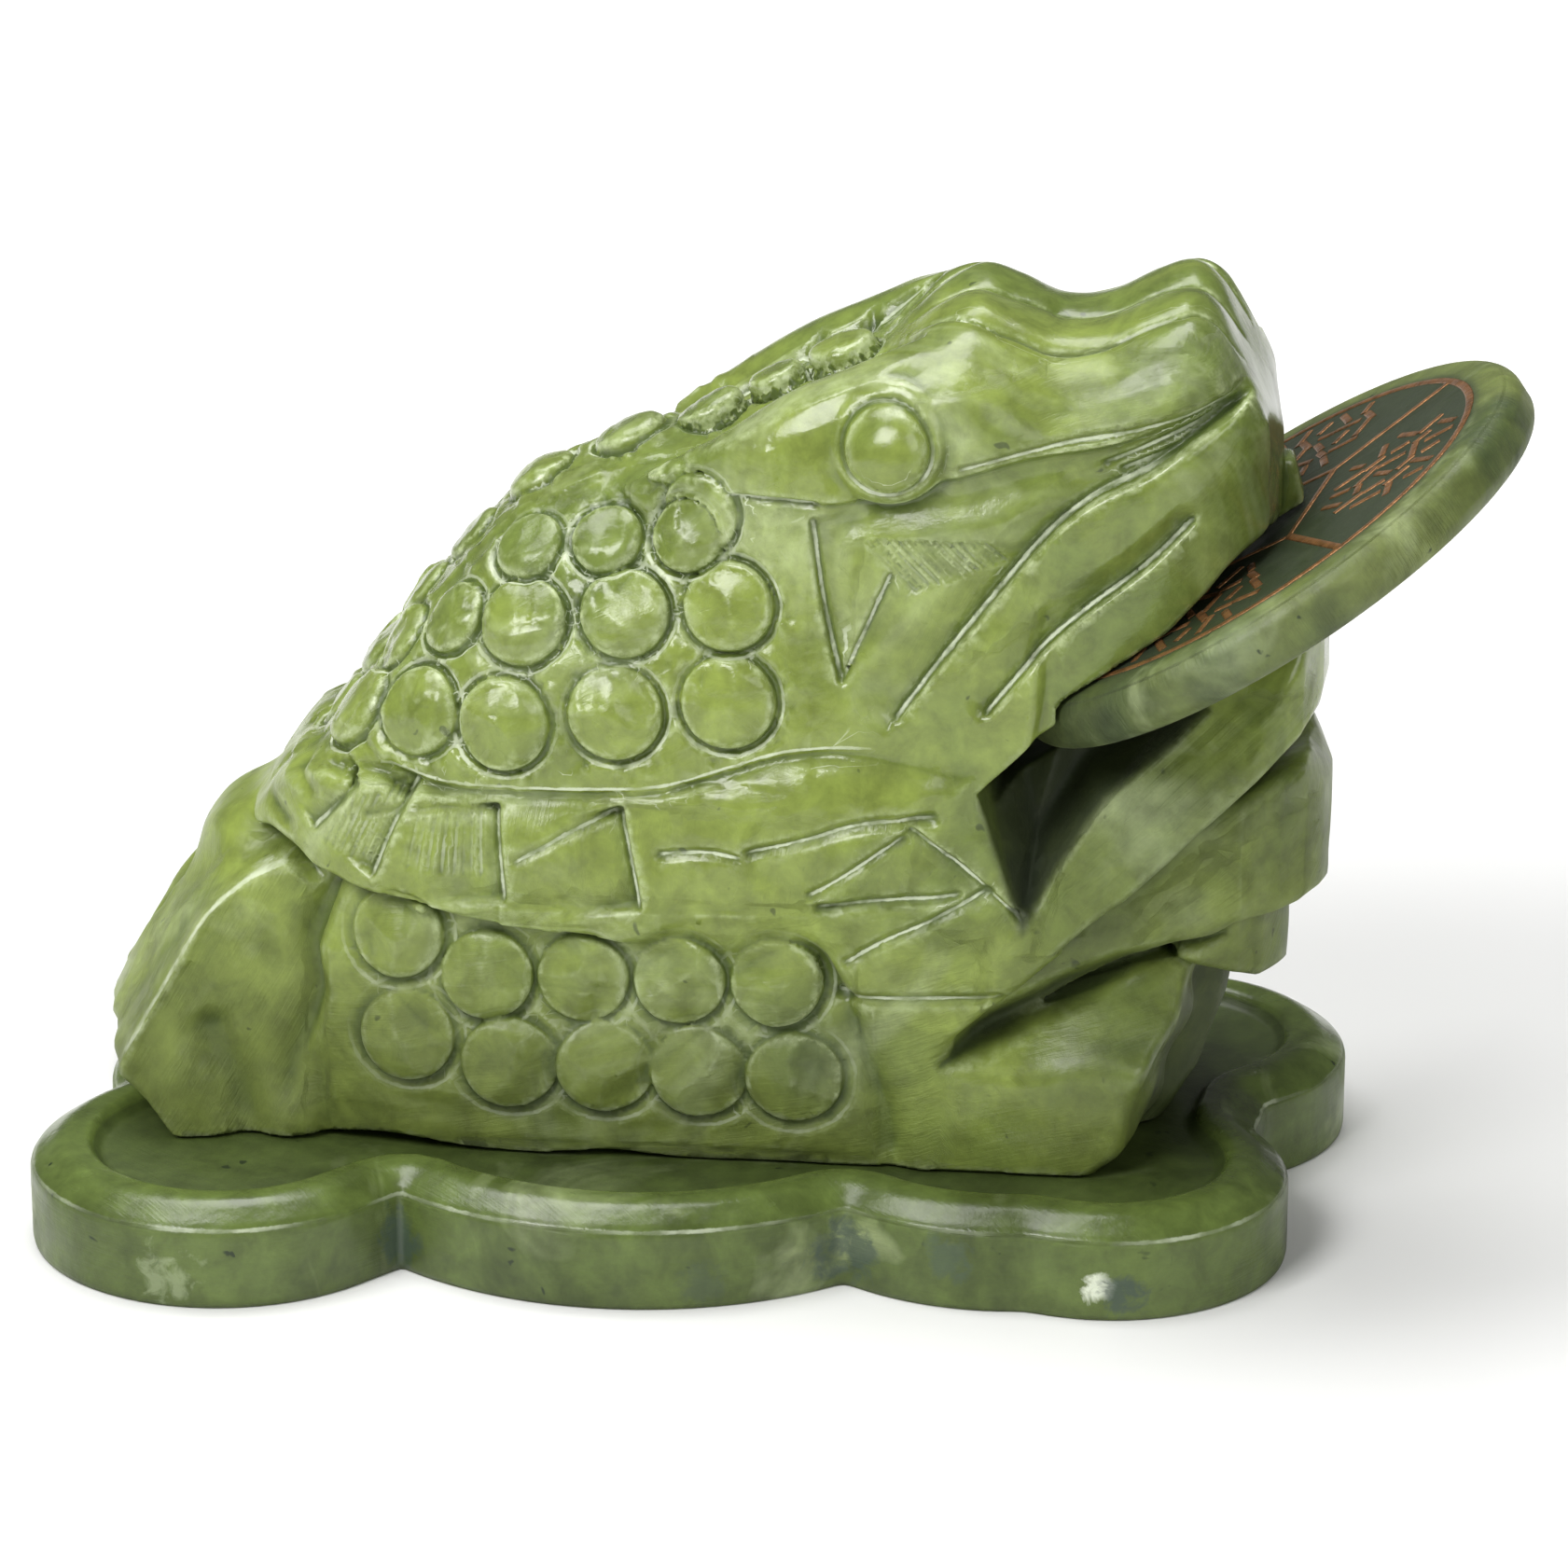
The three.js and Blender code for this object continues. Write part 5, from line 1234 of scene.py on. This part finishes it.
def stone_material(name, light, deep, pale, mottle, specks, streaks, cuts=True, roughness=0.13):
    """Polished stone, duller in its cuts, with painted shade in its cuts, hollows and other shaded places,
    and pale ridges that are partly rubbed wear and partly painted highlight.
    """
    material, tree, inputs, vector = new_material(name)
    colour = place_group(tree, stone_group(), Vector=vector, Light=rgba(light), Deep=rgba(deep),
                         Pale=rgba(pale), Mottle=mottle, Specks=specks)['Color']
    polish = place_group(tree, polish_group(), Vector=vector, Brush=attribute(tree, 'brush')['Vector'],
                         Streaks=streaks, Waves=0.6)
    dull = times(tree, polish['Dull'], 0.5)
    if cuts:
        # Painted shade in hollows and cuts, and pale ridges that are partly rubbed wear and partly painted
        # highlight
        wear_and_painted_light = place_group(tree, edge_light_group(), Bend=attribute(tree, 'bend')['Fac'], Vector=vector)
        shade = times(tree, times(tree, attribute(tree, 'hollow')['Fac'], 0.9, True), 0.5)
        colour = mix_colour(tree, shade, colour, rgba(HOLLOW_SHADE))
        colour = mix_colour(tree, wear_and_painted_light['Valley'], colour, rgba(VALLEY_SHADE))
        colour = mix_colour(tree, wear_and_painted_light['Ridge'], colour, rgba(pale))
        dull = plus(tree, dull, times(tree, wear_and_painted_light['Valley'], 0.3))
    cut_lines = attribute(tree, 'pale_mark')['Vector']
    pale_mark = place_group(tree, mark_group(), Vector=vector, Cuts=cut_lines)['Marks']
    colour = mix_colour(tree, pale_mark, colour, rgba(MARK_COLOUR))
    # Painted shade and painted shadow, where the mesh's dark values say, over the stone's colour
    dark = attribute(tree, 'dark')['Fac']
    colour = mix_colour(tree, times(tree, dark, 0.9), colour, rgba(PAINTED_SHADE))
    dull = plus(tree, dull, times(tree, pale_mark, 0.3))
    dull = plus(tree, dull, times(tree, dark, 0.35))
    set_inputs(tree, inputs, Base_Color=colour, Roughness=plus(tree, dull, roughness, True), IOR=1.46,
               Normal=bump(tree, polish['Height'], 0.7), Coat_Roughness=0.08, Subsurface_Weight=0.04,
               Coat_Weight=minus(tree, 0.16, times(tree, dull, 0.5), True),
               Subsurface_Radius=(0.002, 0.003, 0.001))
    return material


def recolour(material, factor, colour):
    """Mixes another colour over a material's own."""
    tree = material.node_tree
    base = tree.nodes['Principled BSDF'].inputs['Base Color']
    feed(tree, base, mix_colour(tree, factor, base.links[0].from_socket, rgba(colour)))


def copper_material():
    material, tree, inputs, vector = new_material('Copper paint')
    wear_and_painted_light = ramp_node(tree, noise_node(tree, vector, 900, 4, 0.6), (0.36, 0.35), (0.58, 1))
    grit = noise_node(tree, vector, 1100, 3, 0.6, 0.3, (2, 5, 1))
    metal = mix_colour(tree, wear_and_painted_light, rgba(WORN_COPPER), rgba(colours().copper))
    set_inputs(tree, inputs, Base_Color=metal, Metallic=0.6, Roughness=0.36, Normal=bump(tree, grit, 0.8))
    return material


# Pieces.

# Corners of the space that is carved, in the drawing's millimetres.
CARVED_LOW, CARVED_HIGH = (-63.5, 0, 6.1), (60, 25, 91)


class CarveToad(bpy.types.Operator):
    """Carve the toad from its named masses and relief"""
    bl_idname = "toad.carve"
    bl_label = "Toad"

    def execute(self, context):
        s, c = sizes(), colours()
        toad = Toad()
        cell = s.cell / MM / toad.scale * 1
        points, quads = grid_surface(toad.carve, CARVED_LOW, CARVED_HIGH, cell)
        points, (dark, line, held) = on_surface(toad.carve, points)
        bends = bend(toad.carve, points)
        hollow = bend(toad.carve, points, 1.5)
        points[:, 2] = np.maximum(points[:, 2], FLOOR)
        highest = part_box("toad")[1][2] / MM
        placed = points * toad.scale
        placed[:, 2] = (points[:, 2] - FLOOR) * toad.scale + (s.base_height - s.tray_depth) / MM + REST_GAP
        placed[:, 2] = np.minimum(placed[:, 2], highest - 0.01)
        mesh = new_mesh("toad_carved", placed, quads)
        # Values for painted shade and shadow (dark), painted shade in hollows (hollow), and painted
        # highlights on ridges and painted shade in cuts (bend)
        add_values(mesh, 'dark', dark)
        add_marks(mesh, line, held)
        add_values(mesh, 'bend', np.clip(bends, -4, 4))
        add_values(mesh, 'hollow', np.clip(-hollow, 0, 2))
        add_brush(mesh, *brush_way(points[:, 0], np.abs(points[:, 1]), points[:, 2]))
        piece = bpy.data.objects.new("toad_rough", mesh)
        context.scene.collection.objects.link(piece)
        thin = piece.modifiers.new("thin", 'DECIMATE')
        thin.ratio = min(1.0, s.toad_triangles / (2 * len(quads)))
        thin.use_collapse_triangulate = True
        context.view_layer.update()
        evaluated = piece.evaluated_get(context.evaluated_depsgraph_get())
        final = bpy.data.meshes.new_from_object(evaluated)
        bpy.data.objects.remove(piece)
        bpy.data.meshes.remove(mesh)
        final.name = "toad_carved"
        material = stone_material("Toad stone", c.light_stone, c.deep_stone, c.pale_stone, 0.75, 0.6, 0.8)
        add_piece("toad_carved", final, material, "toad", "toad")
        return {'FINISHED'}


LOBES = [(-42.8, -20.3, 11.6), (-6.3, -2.9, 25.4), (27.5, -10, 15.2), (37.2, -16.2, 9.9), (30, 0, 14.4),
         (41.7, 13.8, 9.8), (29, 10, 15.2), (-6.3, 2.9, 25.4), (-42.8, 20.3, 11.6), (-38, 0, 12.9)]
OUTLINE_MIDDLE = (-2, 0)
NOTCH_BLEND = 0.6
RIM_RISE = 2
BASE_FOOT = 0.6

# Patches in the base: place, radius, how strong, and colour. The dark ones at the two notches of the near
# side are painted shade in the notches; the others are patches of other stone.
INCLUSIONS = [((37.3, -32.2, 3.2), 1.7, 0.95, (0.7, 0.75, 0.6)),
              ((39.4, -31.4, 2.6), 2.6, 0.8, (0.05, 0.075, 0.06)),
              ((-26, -28, 3.6), 3.2, 0.75, (0.045, 0.07, 0.055)),
              ((14.5, -29, 3.8), 3.2, 0.75, (0.045, 0.07, 0.055)),
              ((-45, -36, 3), 3.4, 0.55, (0.3, 0.36, 0.2)), ((24, -31, 5), 2.4, 0.6, (0.06, 0.09, 0.06)),
              ((52, 10, 4), 3, 0.6, (0.05, 0.075, 0.055)), ((2, -33, 2.5), 2.6, 0.5, (0.06, 0.085, 0.05))]


def base_outline(around):
    """Points along the base's outline, evenly spaced, and the way outwards at each."""
    s = sizes()
    scale = s.toad_length / MM / DRAWN_LENGTH
    angle = np.linspace(0, 2 * np.pi, 4000, endpoint=False)
    dx, dy = np.cos(angle), np.sin(angle)
    total = np.zeros(angle.shape)
    for x, y, radius in LOBES:
        px, py = (x - OUTLINE_MIDDLE[0]) * scale, (y - OUTLINE_MIDDLE[1]) * scale
        along = px * dx + py * dy
        rest = (radius * scale + s.rim_width / MM) ** 2 - px * px - py * py + along * along
        total += np.where(rest > 0, np.exp((along + np.sqrt(np.maximum(rest, 0))) / NOTCH_BLEND), 0)
    reach = np.log(total) * NOTCH_BLEND
    line = np.stack([OUTLINE_MIDDLE[0] * scale + dx * reach, OUTLINE_MIDDLE[1] * scale + dy * reach], 1)
    step = np.linalg.norm(np.roll(line, -1, 0) - line, axis=1)
    passed = np.concatenate([[0], np.cumsum(step)])
    wanted = np.linspace(0, passed[-1], around, endpoint=False)
    closed = np.vstack([line, line[:1]])
    points = np.stack([np.interp(wanted, passed, closed[:, k]) for k in (0, 1)], 1)
    tangent = np.roll(points, -2, 0) - np.roll(points, 2, 0)
    tangent /= np.linalg.norm(tangent, axis=1)[:, None]
    return points, np.stack([tangent[:, 1], -tangent[:, 0]], 1)


def base_profile():
    """The rim's section, as how far in and how high, in fine steps."""
    s = sizes()
    height, depth, rim = s.base_height / MM, s.tray_depth / MM, s.rim_width / MM
    side = height - RIM_RISE
    corners = [(BASE_FOOT, 0), (0.1, 0.12), (0, BASE_FOOT), (0, side * 0.5), (0, side - 0.2),
               (0.3, side + 0.2), (rim * 0.38, height - 0.3), (rim * 0.52, height),
               (rim * 0.8, height - depth * 0.1),
               (rim * 0.92, height - depth * 0.75), (rim, height - depth)]
    fine = []
    for a, b in zip(corners[:-1], corners[1:]):
        steps = max(1, int(math.hypot(b[0] - a[0], b[1] - a[1]) / 0.3))
        fine += [(a[0] + (b[0] - a[0]) * i / steps, a[1] + (b[1] - a[1]) * i / steps) for i in range(steps)]
    fine.append(corners[-1])
    fine = np.array(fine)
    for _ in range(2):
        fine[3:-1] = (fine[2:-2] + 2 * fine[3:-1] + fine[4:]) / 4
    return fine


class MakeBase(bpy.types.Operator):
    """Make the lobed base with its rounded rim and shallow tray"""
    bl_idname = "toad.base"
    bl_label = "Base"

    def execute(self, context):
        s, stone = sizes(), colours()
        around = 900
        edge, out = base_outline(around)
        edge = edge - 0.1 * out
        profile = base_profile()
        rings = [np.column_stack([edge - out * inward, np.full(around, height)])
                 for inward, height in profile]
        tray = (s.base_height - s.tray_depth) / MM
        middle = np.array(OUTLINE_MIDDLE) * s.toad_length / MM / DRAWN_LENGTH
        # The tray's floor starts with a flat strip, so that its shading stays even
        rings.append(np.column_stack([edge - out * profile[-1][0] - 0.4 * out, np.full(around, tray)]))
        points = np.concatenate(rings + [[[*middle, 0]]])
        top = np.array(tessellate_polygon([[(x, y, 0) for x, y, _ in rings[-1]]])) + (len(rings) - 1) * around
        a, b, c = (points[top[:, k]] for k in range(3))
        under = np.cross(b - a, c - a)[:, 2] < 0
        top[under] = top[under][:, ::-1]
        triangles = np.concatenate([rings_to_triangles(len(rings), around), top,
                                    fan(0, around, len(points) - 1, under=True)])
        ring_of, turn = np.divmod(np.arange(len(points)), around)
        turn = turn * (2 * math.pi / around)
        mesh = new_mesh("base_polished", points, triangles)
        # Painted shade in the tray
        add_values(mesh, 'dark', np.where(ring_of >= len(profile) - 4, 0.5, 0.0))
        # A pale mark along the outer edge of the rim, which is a painted highlight
        corner = np.minimum(points[:, 2] - (s.base_height / MM - RIM_RISE), 1.4)
        patchy = np.clip(0.3 + undulation(points[:, 0], points[:, 1], points[:, 2], 14, 41), 0, 1)
        add_marks(mesh, corner, np.where(corner < 1.3, 0.6, 0) * patchy)
        top = points[:, 2] > s.base_height / MM - RIM_RISE + 0.1
        add_brush(mesh, np.where(top, points[:, 0] * 0.8 + points[:, 1], points[:, 2]) / 0.3,
                  np.where(top, points[:, 0], 60 * turn) / 5, np.where(top, 0.3, 0.75))
        deep = tuple(0.45 * v for v in stone.base_stone)
        material = stone_material("Base stone", stone.base_stone, deep, stone.pale_stone, 0.9, 0.9, 0.7,
                                  cuts=False)
        tree = material.node_tree
        for place, radius, strength, tint in INCLUSIONS:
            vector = tree.nodes['Texture Coordinate'].outputs['Object']
            spot = place_group(tree, inclusion_group(), Vector=vector, Place=[v * MM for v in place],
                               Radius=radius * MM)['Spot']
            recolour(material, times(tree, spot, strength), tint)
        add_piece("base_polished", mesh, material, "base", "base")
        return {'FINISHED'}


def coin_place():
    s = sizes()
    scale = s.toad_length / MM / DRAWN_LENGTH
    radius = s.coin_diameter / MM / 2
    lift = (s.base_height - s.tray_depth) / MM + REST_GAP
    x = MOUTH_CORNER[0] * scale + radius * math.cos(s.coin_tilt)
    z = (MOUTH_CORNER[1] - FLOOR) * scale + lift + radius * math.sin(s.coin_tilt)
    return Matrix.Translation((x, 0, z)) @ Matrix.Rotation(-s.coin_tilt, 4, 'Y')


def moved(points, matrix):
    points = np.asarray(points, float)
    m = np.array(matrix)
    return points @ m[:3, :3].T + m[:3, 3]


COIN_RIM = 1.9
SQUARE_CORNER = 9.1
SECTOR_START = math.radians(25)


class MakeCoin(bpy.types.Operator):
    """Make the coin, a disc with a rounded rim"""
    bl_idname = "toad.coin"
    bl_label = "Coin"

    def execute(self, context):
        s, c = sizes(), colours()
        radius, thick = s.coin_diameter / MM / 2 - 0.02, s.coin_thickness / MM
        around = 360
        section = [(0.02, -thick)] + [(r, -thick) for r in np.linspace(2, radius - COIN_RIM, 12)]
        bends = [math.pi / 2 * i / 10 for i in range(10)]
        section += [(radius - COIN_RIM * (1 - math.sin(a)), -thick + COIN_RIM * (1 - math.cos(a)))
                    for a in bends[1:]]
        section += [(radius - COIN_RIM * (1 - math.cos(a)), -COIN_RIM * (1 - math.sin(a))) for a in bends]
        section += [(r, 0) for r in np.linspace(radius - COIN_RIM, 0.02, 40)]
        angle = np.linspace(0, 2 * np.pi, around, endpoint=False)
        rings = [np.column_stack([r * np.cos(angle), r * np.sin(angle), np.full(around, h)])
                 for r, h in section]
        points = np.concatenate(rings + [[[0, 0, -thick]], [[0, 0, 0]]])
        triangles = np.concatenate([rings_to_triangles(len(rings), around),
                                    fan((len(rings) - 1) * around, around, len(points) - 1),
                                    fan(0, around, len(points) - 2, under=True)])
        mesh = new_mesh("coin_polished", moved(points, coin_place()), triangles)
        turn = np.arctan2(points[:, 1], points[:, 0])
        flat = np.abs(points[:, 2] + thick / 2) > thick / 2 - 0.3
        add_brush(mesh, np.where(flat, points[:, 1], turn * radius) / 0.35,
                  np.where(flat, points[:, 0], points[:, 2]) / 5, np.where(flat, 0.8, 0.9))
        within = 1 - np.clip((np.hypot(points[:, 0], points[:, 1]) - s.ring_radius / MM - 0.2) / 1.2, 0, 1)
        add_values(mesh, 'face', np.where(points[:, 2] > -0.2, within, 0))
        # A painted shadow over the coin's rear end, inside the mouth
        add_values(mesh, 'dark', 0.55 * ramp(-points[:, 0] - 0.2 * radius, 0.8 * radius))
        material = stone_material("Coin stone", COIN_STONE, COIN_DEEP, c.pale_stone, 1, 0.9, 0.9, cuts=False,
                                  roughness=0.22)
        tree = material.node_tree
        recolour(material, times(tree, attribute(tree, 'face')['Fac'], 0.93), c.coin_face)
        add_piece("coin_polished", mesh, material, "coin", "coin")
        return {'FINISHED'}


def stroke_tree():
    """Geometry nodes that give a stroke a flat round-edged section."""
    tree = bpy.data.node_groups.new("Painted stroke", 'GeometryNodeTree')
    for label, way, kind in (("Geometry", 'INPUT', 'Geometry'), ("Width", 'INPUT', 'Float'),
                             ("Material", 'INPUT', 'Material'), ("Geometry", 'OUTPUT', 'Geometry')):
        tree.interface.new_socket(label, in_out=way, socket_type='NodeSocket' + kind)
    given, out, section, sweep, real, paint = (tree.nodes.new(kind) for kind in (
        'NodeGroupInput', 'NodeGroupOutput', 'GeometryNodeCurvePrimitiveCircle', 'GeometryNodeCurveToMesh',
        'GeometryNodeRealizeInstances', 'GeometryNodeSetMaterial'))
    section.inputs['Resolution'].default_value = 8
    sweep.inputs['Fill Caps'].default_value = True
    for a, b in ((times(tree, given.outputs['Width'], 0.5), section.inputs['Radius']),
                 (given.outputs['Geometry'], sweep.inputs['Curve']),
                 (section.outputs['Curve'], sweep.inputs['Profile Curve']),
                 (sweep.outputs['Mesh'], real.inputs['Geometry']),
                 (real.outputs['Geometry'], paint.inputs['Geometry']),
                 (given.outputs['Material'], paint.inputs['Material']),
                 (paint.outputs['Geometry'], out.inputs['Geometry'])):
        tree.links.new(a, b)
    return tree


def coin_strokes():
    """Lines of the coin's ring, square, spokes and rows of short strokes, flat in its face."""
    s = sizes()
    ring = s.ring_radius / MM
    strokes = [[(ring * math.cos(a), ring * math.sin(a)) for a in np.linspace(0, 2 * math.pi, 145)]]
    corners = [SECTOR_START + math.pi / 2 * k for k in range(5)]
    strokes.append([(SQUARE_CORNER * math.cos(a), SQUARE_CORNER * math.sin(a)) for a in corners])
    for a in corners[:4]:
        strokes.append([(r * math.cos(a), r * math.sin(a)) for r in (SQUARE_CORNER, ring)])
    for a in corners[:4]:
        middle = a + math.pi / 4
        for row, (r, count) in enumerate(((10.2, 4), (12.6, 5), (15, 6), (17.4, 6), (19.8, 5))):
            for i in range(count):
                t = (i - (count - 1) / 2) * 2.5
                lean = 0.6 * math.sin(2.1 * i + 1.3 * row + 2 * a)
                length = 1.3 + 0.35 * math.sin(3.7 * i + row)
                c, n = math.cos(middle), math.sin(middle)
                turn = middle + lean + (row % 2) * 1.2
                x, y = r * c - t * n, r * n + t * c
                strokes.append([(x + side * length * math.cos(turn), y + side * length * math.sin(turn))
                                for side in (-1, 1)])
    return strokes


class InlayCoin(bpy.types.Operator):
    """Lay the coppery ring, square and strokes into the coin's face"""
    bl_idname = "toad.inlay"
    bl_label = "Coin strokes"

    def execute(self, context):
        s = sizes()
        data = bpy.data.curves.new("coin_strokes", 'CURVE')
        data.dimensions = '3D'
        for points in coin_strokes():
            spline = data.splines.new('POLY')
            spline.points.add(len(points) - 1)
            for point, (x, y) in zip(spline.points, points):
                point.co = (x * MM, y * MM, 0, 1)
        curve_object = bpy.data.objects.new("coin_strokes_line", data)
        context.scene.collection.objects.link(curve_object)
        material = copper_material()
        tree = stroke_tree()
        modifier = curve_object.modifiers.new("strokes", 'NODES')
        modifier.node_group = tree
        names = {item.name: item.identifier for item in tree.interface.items_tree if item.in_out == 'INPUT'}
        modifier[names["Width"]] = s.stroke_width
        modifier[names["Material"]] = material
        context.view_layer.update()
        mesh = bpy.data.meshes.new_from_object(curve_object.evaluated_get(context.evaluated_depsgraph_get()))
        bpy.data.objects.remove(curve_object)
        co = np.zeros(len(mesh.vertices) * 3, np.float32)
        mesh.vertices.foreach_get('co', co)
        co = co.reshape(-1, 3).astype(float) / MM
        co[:, 2] *= 0.22
        mesh.vertices.foreach_set('co', (moved(co, coin_place()) * MM).astype(np.float32).ravel())
        mesh.update()
        add_piece("coin_strokes", mesh, material, "coin")
        return {'FINISHED'}


# Lights: name, place, size and power. They face one point over the table.
LIGHTS = [("key", (-0.33, -0.5, 0.6), (0.35, 0.35), 5.0), ("top", (-0.08, 0.12, 0.62), (0.55, 0.32), 3.7),
          ("fill", (0.4, -0.56, 0.46), (0.4, 0.4), 1.8)]
LIT_POINT = (0, 0, 0.04)

# The camera's azimuth and elevation, the point it looks at, and its lens in the photograph's pixels.
CAMERA_ANGLES = (math.radians(6), math.radians(20.5))
SEEN_POINT, CAMERA_DISTANCE = (6 * MM, 0, 37.6 * MM), 0.6
FOCAL_PIXELS, PHOTO_PIXELS = 7001, 1681


class SetStage(bpy.types.Operator):
    """Set the floor, the lights and the camera"""
    bl_idname = "toad.stage"
    bl_label = "Stage"

    def execute(self, context):
        scene = context.scene
        mesh = bpy.data.meshes.new("floor")
        mesh.from_pydata([(-4, -4, 0), (4, -4, 0), (4, 4, 0), (-4, 4, 0)], [], [(0, 1, 2, 3)])
        floor = bpy.data.objects.new("floor", mesh)
        scene.collection.objects.link(floor)
        material, tree, inputs, vector = new_material("Floor")
        # The floor glows, more the farther off it is, as painted light that stands in for a lit sweep of
        # paper
        away = tree.nodes.new('ShaderNodeVectorMath')
        away.operation = 'LENGTH'
        feed(tree, away.inputs[0], vector)
        set_inputs(tree, inputs, Base_Color=(0.86, 0.86, 0.85, 1), Roughness=0.6, Emission_Strength=1,
                   Emission_Color=ramp_node(tree, away.outputs['Value'], (0.08, 0), (0.5, 0.75)))
        mesh.materials.append(material)

        world = bpy.data.worlds.new("Studio")
        scene.world = world
        world.use_nodes = True
        background = world.node_tree.nodes['Background']
        background.inputs['Color'].default_value = (1, 1, 1, 1)
        background.inputs['Strength'].default_value = 0.12

        for name, place, size, power in LIGHTS:
            data = bpy.data.lights.new(name, 'AREA')
            data.energy = power
            data.shape = 'RECTANGLE'
            data.size, data.size_y = size
            lamp = bpy.data.objects.new(name, data)
            scene.collection.objects.link(lamp)
            lamp.location = place
            lamp.rotation_euler = (Vector(place) - Vector(LIT_POINT)).to_track_quat('Z', 'Y').to_euler()

        scene.view_settings.view_transform = 'Standard'
        azimuth, elevation = CAMERA_ANGLES
        back = Vector((math.sin(azimuth) * math.cos(elevation), -math.cos(azimuth) * math.cos(elevation),
                       math.sin(elevation)))
        right = Vector((math.cos(azimuth), math.sin(azimuth), 0))
        up = back.cross(right)
        data = bpy.data.cameras.new("camera")
        data.sensor_width = 36
        data.lens = data.sensor_width * FOCAL_PIXELS / PHOTO_PIXELS
        data.clip_start = 0.01
        camera = bpy.data.objects.new("camera", data)
        scene.collection.objects.link(camera)
        camera.location = Vector(SEEN_POINT) + back * CAMERA_DISTANCE
        camera.rotation_euler = Matrix((right, up, back)).transposed().to_euler()
        scene.camera = camera
        return {'FINISHED'}


class ToadPanel(bpy.types.Panel):
    """Steps that make the figure"""
    bl_idname = "TOAD_PT_steps"
    bl_label = "Money toad"
    bl_space_type = 'VIEW_3D'
    bl_region_type = 'UI'
    bl_category = "Money toad"

    def draw(self, context):
        layout = self.layout
        for group in (context.scene.toad_sizes, context.scene.toad_colours):
            for name in group.__annotations__:
                layout.prop(group, name)
        for operator in PIECES:
            layout.operator(operator.bl_idname)


PIECES = (SetStage, MakeBase, CarveToad, MakeCoin, InlayCoin)
CLASSES = (FigureSizes, FigureColours) + PIECES + (ToadPanel,)


def register():
    for item in CLASSES:
        bpy.utils.register_class(item)
    bpy.types.Scene.toad_sizes = bpy.props.PointerProperty(type=FigureSizes)
    bpy.types.Scene.toad_colours = bpy.props.PointerProperty(type=FigureColours)


def unregister():
    del bpy.types.Scene.toad_colours
    del bpy.types.Scene.toad_sizes
    for item in reversed(CLASSES):
        bpy.utils.unregister_class(item)


def main():
    register()
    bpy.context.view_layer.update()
    bpy.ops.toad.stage()
    bpy.ops.toad.base()
    bpy.ops.toad.carve()
    bpy.ops.toad.coin()
    bpy.ops.toad.inlay()


if __name__ == "__main__":
    main()
